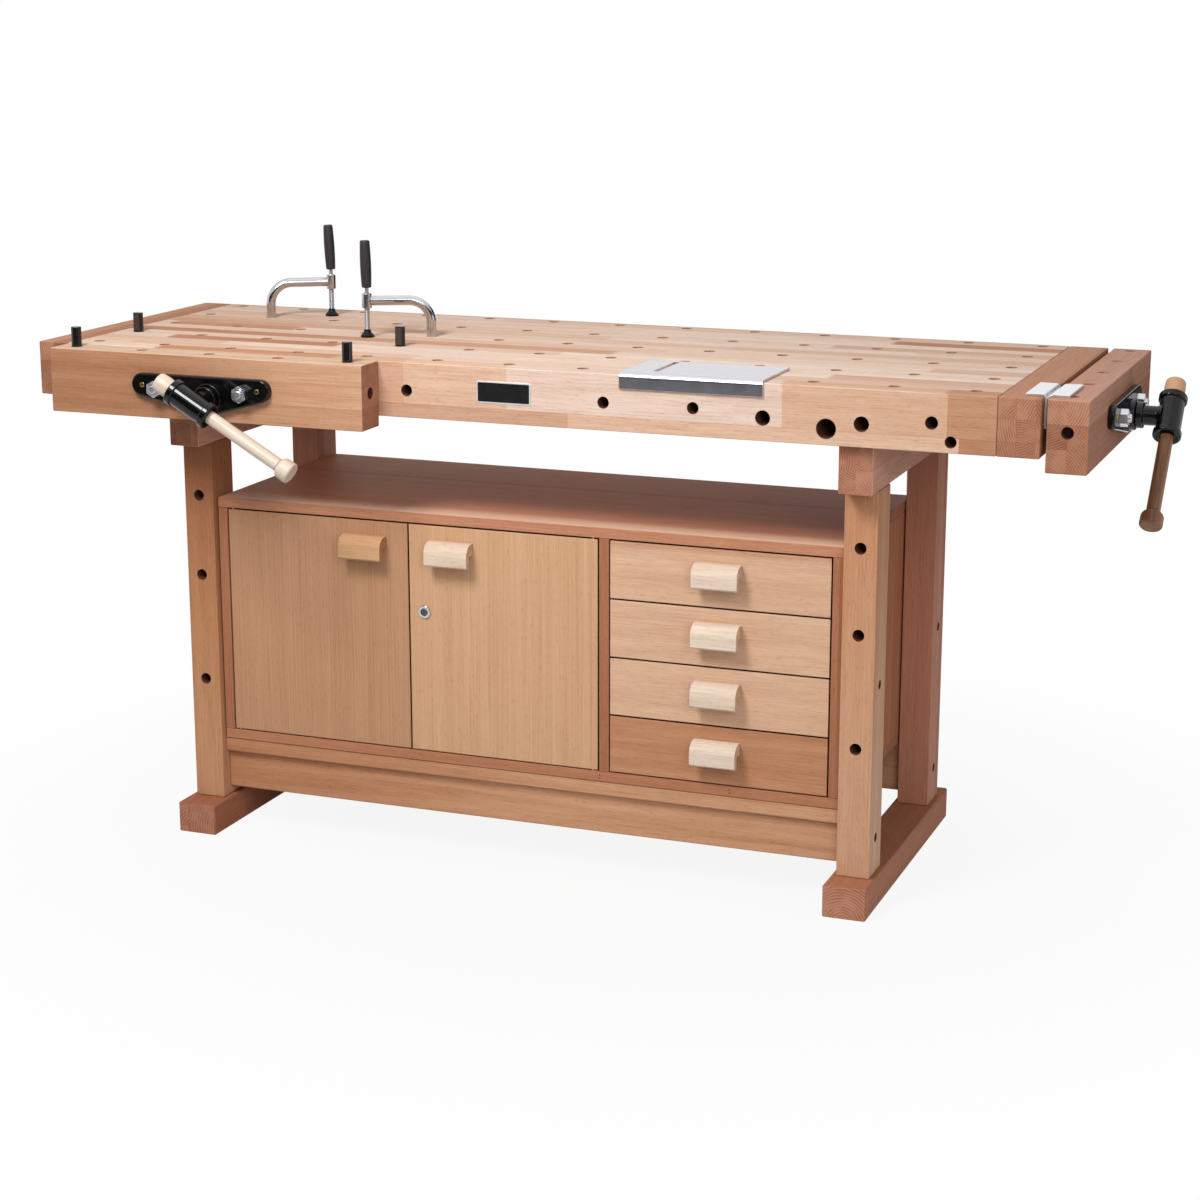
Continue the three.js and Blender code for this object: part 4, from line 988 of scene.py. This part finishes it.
def jaws():
    """The two wooden vise jaws, with dog holes down through them and a peg hole in one end."""
    for vise, box, wood in (("front", front_jaw, jaw_wood), ("tail", tail_jaw, tail_jaw_wood)):
        dogs = bmesh.new()
        if vise == "front":
            spots = [(x, jaw_line) for x in columns if box[0].x < x < box[1].x]
            mouth, inward = Vector((box[1].x, jaw_line, top_height - end_peg_drop)), -rightward
            thickness = box[1].y - box[0].y
        else:
            spots = [(tail_line, y) for y in rows]
            mouth, inward = Vector((tail_line, box[0].y, top_height - end_peg_drop)), backward
            thickness = box[1].x - box[0].x
        for x, y in spots:
            hole(dogs, Vector((x, y, top_height)), down, dog_hole, box[1].z - box[0].z)
        peg = bmesh.new()
        hole(peg, mouth, inward, dog_hole, end_peg_depth, through=False)
        bm = board(*box)
        bores = vise_bores(vise, 0, thickness)
        for tool, walls in ((dogs, dog_walls), (peg, peg_walls), (bores, peg_walls)):
            bm = cut(bm, tool, walls)
        node = f"{vise}_vise_jaw"
        dress(f"{vise}_jaw_board", bm, wood, node, [node])


def badge():
    """A bare black plate with round corners and a bright border, on the front apron."""
    corner = Vector((bench_left + badge_start, bench_front, top_height - badge_drop - badge_size.y))
    outward = Matrix.Translation(corner) @ from_front
    circles = [(x, y, badge_corner) for x in (badge_corner, badge_size.x - badge_corner)
               for y in (badge_corner, badge_size.y - badge_corner)]
    for name, material, inset, proud in (("badge_border", silver, 0, badge_border_height),
                                         ("badge_face", badge_black, badge_border, badge_face_height)):
        rim, face = band(circles, inset), band(circles, inset + badge_ease)
        bm = bmesh.new()
        lofted(bm, outward, [(rim, 0), (rim, proud - badge_ease), (face, proud)])
        dress(name, bm, material, "bench_top")


# Vises

def vise_plate(vise):
    """The cast plate on a jaw's face, with the boss that the screw turns in and two screws."""
    node = f"{vise}_vise_plate"
    outward = vise_places[vise] @ Matrix.Translation((0, -seam, 0)) @ from_front
    end = plate_length / 2 - plate_end_radius
    circles = [(-end, -plate_end_drop, plate_end_radius), (end, -plate_end_drop, plate_end_radius),
               (screw_offset, -screw_drop, plate_hub_radius)]
    layers = [(band(circles), 0)]
    for inset, height in arc((-plate_rounding, plate_thickness - plate_rounding), plate_rounding, 0, 90):
        layers.append((band(circles, -inset), height))
    bm = bmesh.new()
    lofted(bm, outward, layers)
    boss_place = outward @ Matrix.Translation((screw_offset, -screw_drop, plate_thickness))
    turned(bm, disc(boss_diameter, -past, boss_height, boss_rim), boss_place)
    dress(f"{vise}_vise_casting", bm, enamel, node, [node])
    for side, x in (("a", -plate_screw_reach), ("b", plate_screw_reach)):
        spot = outward @ Matrix.Translation((x, -plate_end_drop, plate_thickness))
        head = socket_head(spot, plate_screw, plate_screw_socket, plate_screw_plug, -past,
                           -plate_screw_sink, plate_screw_height, plate_screw_rim)
        dress(f"{vise}_vise_plate_screw_{side}", head, brass, node)


def guide_rods(vise):
    """Two chromed rods, each clamped to the plate by a hexagon nut with a domed end."""
    tip_face = plate_thickness + 2 * seam + nut_height + rod_tip_height
    nut_face, nut_back = rod_tip_height, rod_tip_height + nut_height
    for side, x in zip(rod_sides[vise], (-rod_spacing / 2, rod_spacing / 2)):
        node = f"{vise}_vise_{side}_rod"
        low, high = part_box(node)
        inward = vise_places[vise] @ standing((x, -tip_face, -rod_drop), backward)
        bm = bmesh.new()
        turned(bm, disc(rod_diameter, nut_back - past, max(high - low), rod_rim), inward)
        dress(f"{vise}_vise_{side}_guide", bm, chrome, node, [node])
        bm = bmesh.new()
        tip = rod_tip / 2
        stub = [(0, 0)] + arc((tip - rod_tip_rim, rod_tip_rim), rod_tip_rim, -90, 0)
        turned(bm, stub + [(tip, nut_face + past), (0, nut_face + past)], inward)
        washer = sleeve(nut_washer, rod_tip, nut_face - nut_washer_height, nut_face + past, nut_washer_rim)
        turned(bm, washer, inward, closed=True)
        outward = inward @ Matrix.Translation((0, 0, nut_back)) @ Matrix.Rotation(math.pi, 4, "X")
        hex_nut(bm, outward, nut_across, nut_height)
        dress(f"{vise}_vise_{side}_nut", bm, zinc, node)


def cross_tube_place(vise, direction):
    """A place in the middle of a vise's cross tube, whose Z axis runs along direction."""
    return standing(vise_places[vise] @ Vector((screw_offset, -hub_reach, -screw_drop)), direction)


def screw(vise):
    """The screw with its thread, its collar and the cross tube that holds the bar."""
    node = f"{vise}_vise_screw"
    low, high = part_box(node)
    reach = high.y - front_jaw[0].y if vise == "front" else tail_jaw[1].x - low.x
    on_screw = cross_tube_place(vise, vise_places[vise].to_3x3() @ backward)
    on_bar = cross_tube_place(vise, -Vector(joint_of[f"{vise}_bar_slide"]["axis"]))
    half, bore = tube_length / 2, bar_diameter + past
    bm = bmesh.new()
    turned(bm, sleeve(tube_diameter, bore, -half, half, tube_rim), on_bar, closed=True)
    for start in (-half, half - ring_width):
        ring = sleeve(ring_diameter, bore, start, start + ring_width, ring_rim)
        turned(bm, ring, on_bar, closed=True)
    wall_start = bar_diameter / 2 + past
    collar_back = hub_reach - plate_thickness - boss_height - 2 * seam
    neck = neck_diameter / 2
    profile = [(0, wall_start), (neck + neck_flare, wall_start)]
    profile += arc((neck + neck_curve, wall_start + neck_curve_rise), neck_curve, 190, 180)
    profile += [(neck, collar_back - collar_height)]
    collar = disc(collar_diameter, collar_back - collar_height, collar_back, collar_rim)
    turned(bm, profile + collar[1:], on_screw)
    dress(f"{vise}_vise_hub", bm, enamel, node, [node])
    thread = bmesh.new()
    threaded(thread, on_screw, screw_diameter, screw_pitch, thread_depth, collar_back - past,
             hub_reach + reach)
    dress(f"{vise}_vise_thread", thread, steel, node)


def bar(vise, wood):
    """The turned bar of a vise: a barrel-shaped head, a plain shaft and a round-cornered knob."""
    node = f"{vise}_vise_bar"
    shaft, head_radius, knob_radius = bar_diameter / 2, bar_head / 2, bar_knob / 2
    head = -tube_length / 2 - seam
    head_low = head - bar_head_length
    knob = tube_length / 2 + bar_free_length
    knob_top = knob + bar_knob_length
    slim = head_radius - bar_head_bulge
    profile = [(0, head_low)]
    profile += arc((slim - bar_head_rim, head_low + bar_head_rim), bar_head_rim, -90, -10)
    profile += [(head_radius, head_low + bar_head_length * bar_head_belly)]
    profile += arc((slim - bar_head_shoulder, head - bar_head_shoulder), bar_head_shoulder, 10, 90)
    profile += [(shaft, head), (shaft, knob)]
    profile += arc((knob_radius - bar_knob_curve, knob + bar_knob_curve), bar_knob_curve, -75, 0, steps=8)
    profile += arc((knob_radius - bar_knob_rim, knob_top - bar_knob_rim), bar_knob_rim, 0, 90)
    profile += [(0, knob_top)]
    bm = bmesh.new()
    turned(bm, profile, Matrix(), sides=64)
    place = cross_tube_place(vise, -Vector(joint_of[f"{vise}_bar_slide"]["axis"]))
    dress(f"{vise}_vise_handle_bar", bm, wood, node, [node], place)


# Sheet metal

def angle_sheet(place, width, flange, skirt):
    """A bent sheet: its corner lies on the X axis of place, a flange runs along Y, a skirt down."""
    hollow = sheet_thickness + sheet_inner_bend
    outer = arc((sheet_bend, -sheet_bend), sheet_bend, 180, 90, steps=8)
    inner = arc((hollow, -hollow), sheet_inner_bend, 90, 180, steps=8)
    section = [(0, -skirt)] + outer + [(flange, 0), (flange, -sheet_thickness)]
    section += inner + [(sheet_thickness, -skirt)]
    bm = bmesh.new()
    lofted(bm, place @ from_right, [(section, 0), (section, width)])
    eased(bm, sheet_ease, above=50)
    return bm


def jaw_plates():
    """The angle plates that line the tail vise, one on the end cap and one on the jaw."""
    for name, node, side in (("end_cap_angle_plate", "end_cap_jaw_plate", 1),
                             ("tail_jaw_angle_plate", "tail_vise_jaw_plate", -1)):
        low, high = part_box(node)
        corner = (high.x, low.y, high.z) if side > 0 else (low.x, high.y, high.z)
        place = Matrix.Translation(corner) @ Matrix.Rotation(side * math.pi / 2, 4, "Z")
        bm = angle_sheet(place, high.y - low.y, high.x - low.x, high.z - low.z)
        dress(name, bm, white_plate, node, [node])


def bench_plate():
    """The loose plate hooked over the front edge, with its slot."""
    low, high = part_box("bench_plate")
    place = Matrix.Translation((low.x, low.y, high.z))
    bm = angle_sheet(place, high.x - low.x, high.y - low.y, high.z - low.z)
    slot_x = columns[plate_slot_column]
    radius = plate_slot_width / 2
    outline = band([(slot_x, bench_front + plate_slot_start, radius),
                    (slot_x, bench_front + plate_slot_end, radius)], steps=32)
    tool = bmesh.new()
    lofted(tool, Matrix(), [(outline, high.z - 2 * sheet_thickness), (outline, high.z + past)])
    dress("hooked_plate", cut(bm, tool), sheet_steel, "bench_plate", ["bench_plate"])


# Base

def legs():
    """Four legs, with peg holes up the front ones and bolts in their outer faces."""
    for side, outward in (("left", -1), ("right", 1)):
        foot_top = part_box(f"{side}_foot")[1].z + seam
        bearer_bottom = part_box(f"{side}_bearer")[0].z - seam
        for row in ("front", "rear"):
            node = f"{row}_{side}_leg"
            low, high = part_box(node)
            low.z, high.z = foot_top, bearer_bottom
            middle = (low + high) / 2
            face_x = high.x if outward > 0 else low.x
            tools = bmesh.new()
            for height in bolt_heights:
                spot = Vector((face_x, middle.y, height))
                hole(tools, spot, -outward * rightward, bolt_hole, bolt_depth, through=False)
            bm = cut(board(low, high), tools, peg_walls)
            if row == "front":
                pegs = bmesh.new()
                for drop in peg_drops:
                    spot = Vector((middle.x, low.y, top_height - drop))
                    hole(pegs, spot, backward, dog_hole, (high.y - low.y) / 2, through=False)
                bm = cut(bm, pegs, peg_walls)
            dress(f"{row}_{side}_leg_post", bm, leg_woods[node], node, [node])
            for level, height in zip(("low", "high"), bolt_heights):
                spot = standing((face_x - outward * bolt_depth, middle.y, height), outward * rightward)
                head = socket_head(spot, bolt_head, bolt_socket, bolt_plug, 0, bolt_plug_height,
                                   bolt_head_height, bolt_head_rim, sides=32)
                dress(f"{row}_{side}_leg_bolt_{level}", head, dark_steel, node)


def staples():
    """Two pairs of small dark staple ends in the front edge of the cabinet's bottom."""
    low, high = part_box("cabinet_bottom")
    for number, x in enumerate(staple_places):
        for side in (-1, 1):
            height = (low.z + high.z) / 2 + side * staple_spread
            bm = bmesh.new()
            end = disc(staple_wire, 0, past + staple_proud, staple_rim)
            turned(bm, end, standing((x, low.y + past, height), -backward), sides=16)
            dress(f"staple_{number}_{side + 1}", bm, dark_steel, "cabinet_bottom")


# Cabinet fittings

def pull(node, wood):
    """A pull: a round-topped bar with a notch behind its lower edge for the fingers."""
    low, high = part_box(node)
    height = high.z - low.z
    front = low.y - high.y
    section = [(0, height)]
    section += arc((front + pull_crown, height - pull_crown), pull_crown, 90, 180, steps=14)
    section += [(front, pull_chamfer), (front + pull_chamfer, 0), (front + pull_lip, 0),
                (front + pull_lip, pull_notch), (0, pull_notch)]
    bm = bmesh.new()
    lofted(bm, Matrix.Translation((low.x, high.y, low.z)) @ from_right,
           [(section, 0), (section, high.x - low.x)])
    eased(bm, pull_ease)
    dress(f"{node}_block", bm, wood, node, [node])


def door_lock():
    """The cam lock: a chromed ring round a dark plug with its key slot, a barrel and the cam behind."""
    low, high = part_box("door_lock")
    centre = Vector(joint_of["door_lock_turn"]["pos_m"])
    inward = standing((centre.x, low.y, centre.z), backward)
    bm = bmesh.new()
    turned(bm, sleeve(lock_face, lock_plug, 0, lock_face_height, lock_face_rim), inward, closed=True)
    turned(bm, disc(lock_barrel, lock_barrel_start, high.y - low.y, lock_barrel_rim), inward, sides=40)
    block(bm, Vector((low.x, high.y - cam_thickness, low.z + cam_inset)),
          Vector((centre.x, high.y, high.z - cam_inset)))
    dress("cam_lock", bm, chrome, "door_lock", ["door_lock"])
    side = lock_plug / 2 - lock_plug_slip
    bm = bmesh.new()
    turned(bm, [(0, lock_plug_sink), (lock_plug_face / 2, lock_plug_sink), (side, lock_plug_edge),
                (side, lock_face_height), (0, lock_face_height)], inward, sides=40)
    half = Vector((key_slot_width, 0, key_slot_height)) / 2
    mouth = Vector((centre.x, low.y, centre.z))
    slot = board(mouth - half - past * backward, mouth + half + key_slot_depth * backward, key_slot_ease)
    dress("lock_plug", cut(bm, slot), plug_metal, "door_lock")


# Dogs and holdfasts

def dog(node, facing):
    """A bench dog: a round peg with a flat on its head, which carries a thin facing."""
    low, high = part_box(node)
    x, y = (low.x + high.x) / 2, (low.y + high.y) / 2
    if high.y - low.y < dog_diameter:
        y = low.y + dog_diameter / 2 if facing > 0 else high.y - dog_diameter / 2
    bm = bmesh.new()
    turned(bm, disc(dog_diameter, 0, high.z - low.z, dog_rim), Matrix.Translation((x, y, low.z)))
    flat_y = y + facing * (dog_diameter / 2 - dog_flat_depth)
    flat_foot = high.z - dog_flat_height
    near, far = sorted((flat_y, flat_y + facing * dog_diameter))
    tool = bmesh.new()
    block(tool, Vector((x - dog_diameter, near, flat_foot)), Vector((x + dog_diameter, far, high.z + past)))
    dress(f"{node}_peg", cut(bm, tool), dog_lacquer, node, [node])
    near, far = sorted((flat_y - facing * facing_sink, flat_y + facing * facing_thickness))
    pad = board(Vector((x - facing_width / 2, near, flat_foot + facing_foot)),
                Vector((x + facing_width / 2, far, high.z - facing_head)), facing_ease)
    dress(f"{node}_facing", pad, dog_facing, node)


def swept(bm, path, radius, sides=32):
    """Adds a round bar along points in the XZ plane, closed at both ends."""
    rings = []
    angles = [2 * math.pi * k / sides for k in range(sides)]
    for i, point in enumerate(path):
        ahead = path[min(i + 1, len(path) - 1)] - path[max(i - 1, 0)]
        up = ahead.normalized().cross(backward).normalized()
        rings.append([bm.verts.new(point + radius * (math.cos(a) * backward + math.sin(a) * up))
                      for a in angles])
    for a, b in zip(rings, rings[1:]):
        stitch(bm, a, b)
    bm.faces.new(rings[0][::-1])
    bm.faces.new(rings[-1])


def holdfast(side, lean):
    """A chromed bar bent over the work, a threaded spindle with its grip, and a pad."""
    post = Vector(joint_of[f"{side}_holdfast_swing"]["pos_m"])
    tip = Vector(joint_of[f"{side}_holdfast_spindle_turn"]["pos_m"])
    reach = math.hypot(tip.x - post.x, tip.y - post.y)
    heading = math.atan2(tip.y - post.y, tip.x - post.x)
    place = Matrix.Translation((post.x, post.y, top_height)) @ Matrix.Rotation(heading, 4, "Z")
    on_spindle = place @ Matrix.Translation((reach, 0, 0))
    boss_low, boss_high = arm_height - arm_boss_height / 2, arm_height + arm_boss_height / 2

    node = f"{side}_holdfast_arm"
    path = [(0, -post_below), (0, -post_below + past)]
    path += arc((arm_bend, arm_height - arm_bend), arm_bend, 180, 90, steps=16)
    path += [(reach - spindle_diameter / 2 - arm_stop, arm_height)]
    bm = bmesh.new()
    swept(bm, [Vector((x, 0, z)) for x, z in path], post_diameter / 2)
    boss = sleeve(arm_boss, spindle_diameter + past, boss_low, boss_high, arm_boss_rim)
    turned(bm, boss, Matrix.Translation((reach, 0, 0)), closed=True)
    dress(f"{side}_holdfast_bar", bm, chrome, node, [node], place)

    node = f"{side}_holdfast_spindle"
    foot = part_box(node)[0].z - top_height
    stem_low = boss_high + past
    grip_low = boss_high + grip_stem
    bm = bmesh.new()
    threaded(bm, Matrix(), spindle_diameter, spindle_pitch, spindle_thread, foot, stem_low, sides=24)
    stem = disc(grip_stem_diameter, stem_low - past, grip_low + grip_stem_sunk, grip_stem_rim)
    turned(bm, stem, Matrix(), sides=24)
    dress(f"{side}_holdfast_thread", bm, steel, node, [node], on_spindle)

    radius = grip_diameter / 2
    ends = radius - grip_barrel - grip_rim
    profile = [(0, 0)] + arc((ends, grip_rim), grip_rim, -90, -5)
    barrel = [grip_end + (1 - 2 * grip_end) * i / grip_steps for i in range(grip_steps + 1)]
    profile += [(radius - grip_barrel * (1 - math.sin(math.pi * share)), share * grip_length)
                for share in barrel]
    profile += arc((ends, grip_length - grip_rim), grip_rim, 5, 90) + [(0, grip_length)]
    bm = bmesh.new()
    turned(bm, profile, Matrix(), sides=40)
    tilt = Matrix.Rotation(-heading, 4, "Z") @ Matrix.Rotation(-math.asin(lean / grip_length), 4, "Y")
    on_grip = on_spindle @ Matrix.Translation((0, 0, grip_low)) @ tilt
    dress(f"{side}_holdfast_grip", bm, grip_plastic, node, place=on_grip)

    node = f"{side}_holdfast_pad"
    base, neck = pad_diameter / 2, pad_neck / 2
    socket = spindle_diameter / 2 + pad_socket_slip
    profile = [(0, 0)] + arc((base - pad_rim, pad_rim), pad_rim, -90, 0) + [(base, pad_base)]
    profile += arc((neck + pad_neck_curve, pad_neck_height), pad_neck_curve, 235, 190)
    profile += [(neck, pad_height - pad_rim), (neck - pad_rim, pad_height), (socket, pad_height),
                (socket, pad_height - pad_socket), (0, pad_height - pad_socket)]
    bm = bmesh.new()
    turned(bm, profile, Matrix())
    dress(f"{side}_holdfast_foot", bm, pad_rubber, node, [node],
          on_spindle @ Matrix.Translation((0, 0, seam)))


laminated_top()
end_caps()
jaws()
badge()
for vise, wood in (("front", bar_wood), ("tail", shaded_tail_bar_wood)):
    vise_plate(vise)
    guide_rods(vise)
    screw(vise)
    bar(vise, wood)
jaw_plates()
bench_plate()
legs()
staples()
for number in range(1, 5):
    pull(f"drawer_{number}_pull", pull_wood)
pull("left_door_pull", door_pull_wood)
pull("right_door_pull", pull_wood)
door_lock()
for side in ("left", "right"):
    dog(f"jaw_dog_{side}", 1)
    dog(f"bench_dog_{side}", -1)
for side, lean in grip_leans.items():
    holdfast(side, lean)

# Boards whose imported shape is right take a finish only
kept = {
    foot_wood: ["left_foot", "right_foot"],
    bearer_wood: ["left_bearer", "right_bearer"],
    rail_wood: ["front_stretcher", "rear_stretcher"],
    shelf_wood: ["cabinet_top"],
    bottom_wood: ["cabinet_bottom"],
    side_wood: ["cabinet_left_side", "cabinet_right_side", "cabinet_divider", "cabinet_back"],
    left_door_wood: ["left_door"],
    right_door_wood: ["right_door"],
    drawer_wood: ["drawer_1", "drawer_2", "drawer_3"],
    low_drawer_wood: ["drawer_4"],
    dark_steel: ["front_vise_nut_bracket", "tail_vise_nut_bracket"],
}
for material, nodes in kept.items():
    for node in nodes:
        for slot in frame["nodes"][node].material_slots:
            slot.material = material


# Studio

def lamp(name, spot, target, size, power):
    """A square soft box that faces a point."""
    light = bpy.data.lights.new(name, "AREA")
    light.shape = "SQUARE"
    light.size = size
    light.energy = power
    stand = bpy.data.objects.new(name, light)
    stand.matrix_world = standing(spot, Vector(spot) - Vector(target))
    bpy.context.collection.objects.link(stand)


def seen(tree):
    """One where a ray comes from the camera, a mirror or glass, and zero elsewhere."""
    path = add(tree, "LightPath", {})
    either = add(tree, "Math", {0: path["Is Camera Ray"], 1: path["Is Glossy Ray"]},
                 operation="MAXIMUM")[0]
    return add(tree, "Math", {0: either, 1: path["Is Transmission Ray"]}, operation="MAXIMUM")[0]


def sheet(name, corners, material):
    """A flat studio sheet."""
    mesh = bpy.data.meshes.new(name)
    mesh.from_pydata(corners, [], [range(len(corners))])
    mesh.materials.append(material)
    piece = bpy.data.objects.new(name, mesh)
    bpy.context.collection.objects.link(piece)
    return piece


def studio():
    """A white room: soft light from above and in front, and a floor that keeps the shadow."""
    world = bpy.data.worlds.new("white room")
    world.use_nodes = True
    tree = world.node_tree
    fill = 0.34
    strength = add(tree, "MapRange", {"Value": seen(tree), "To Min": fill, "To Max": 1})["Result"]
    background = tree.nodes["Background"].inputs
    background["Color"].default_value = linear("#ffffff")
    tree.links.new(strength, background["Strength"])
    bpy.context.scene.world = world

    # The paper shines white where it is seen, less so near the bench, where it shows the shadow
    paper, tree, _ = finish("white paper floor")
    tree.nodes.remove(tree.nodes["Principled BSDF"])
    lit = add(tree, "BsdfDiffuse", {"Color": linear("#c4c4c4")})[0]
    glow = add(tree, "Emission", {"Color": linear("#ffffff"), "Strength": 1})[0]
    away = add(tree, "VectorMath", {0: add(tree, "TexCoord", {})["Object"]}, operation="LENGTH")["Value"]
    near = add(tree, "MapRange", {"Value": away, "From Min": 0.5, "From Max": 1.6,
                                  "To Min": 0.9, "To Max": 1})["Result"]
    share = add(tree, "Math", {0: seen(tree), 1: near}, operation="MULTIPLY")[0]
    surface = add(tree, "MixShader", {0: share, 1: lit, 2: glow})[0]
    tree.links.new(surface, tree.nodes["Material Output"].inputs["Surface"])
    half = 30
    sheet("floor", [(-half, -half, 0), (half, -half, 0), (half, half, 0), (-half, half, 0)], paper)

    # Flags, seen only in shiny things, give the metal and the enamel their dark side
    for name, code, start, end, low, high in (
            ("front_flag", "#706f74", (-4, -3.4), (1.7, -3.4), 0.02, 0.95),
            ("front_band", "#141212", (-4, -3.4), (1.7, -3.4), 0.95, 2.3),
            ("side_flag", "#141212", (1.95, -3.35), (4.2, 0.6), 0.02, 2.3),
            ("right_flag", "#141212", (1.12, 0.45), (1.3, 6), 0.02, 2.3)):
        felt, _, shader = finish(f"felt of the {name}")
        shader["Base Color"].default_value = linear(code)
        shader["Roughness"].default_value = 1
        flag = sheet(name, [(*start, low), (*end, low), (*end, high), (*start, high)], felt)
        flag.visible_camera = False
        flag.visible_diffuse = False
        flag.visible_shadow = False
        flag.visible_transmission = False

    lamp("key", spot=(-0.55, -1.75, 2.5), target=(0.05, -0.1, 0.6), size=0.8, power=60)
    lamp("front", spot=(2.3, -3.3, 2.2), target=(0.2, 0, 0.6), size=2, power=51)
    lamp("side", spot=(2.9, -0.6, 0.7), target=(0.55, 0, 0.55), size=1.2, power=8)
    lamp("above", spot=(0.1, 0.5, 3.3), target=(0.1, 0.1, 0.9), size=2.4, power=6)


def camera():
    """The photograph's view: a long lens at standing height, from the front right."""
    data = bpy.data.cameras.new("camera")
    data.lens = 75
    data.sensor_width = 36
    stand = bpy.data.objects.new("camera", data)
    spot = Vector((1.5440, -4.0284, 1.5228))
    aim = Vector((0.00335, 0, 0.4592))
    stand.matrix_world = standing(spot, spot - aim)
    bpy.context.collection.objects.link(stand)
    bpy.context.scene.camera = stand


studio()
camera()
bpy.context.scene.view_settings.view_transform = "Standard"
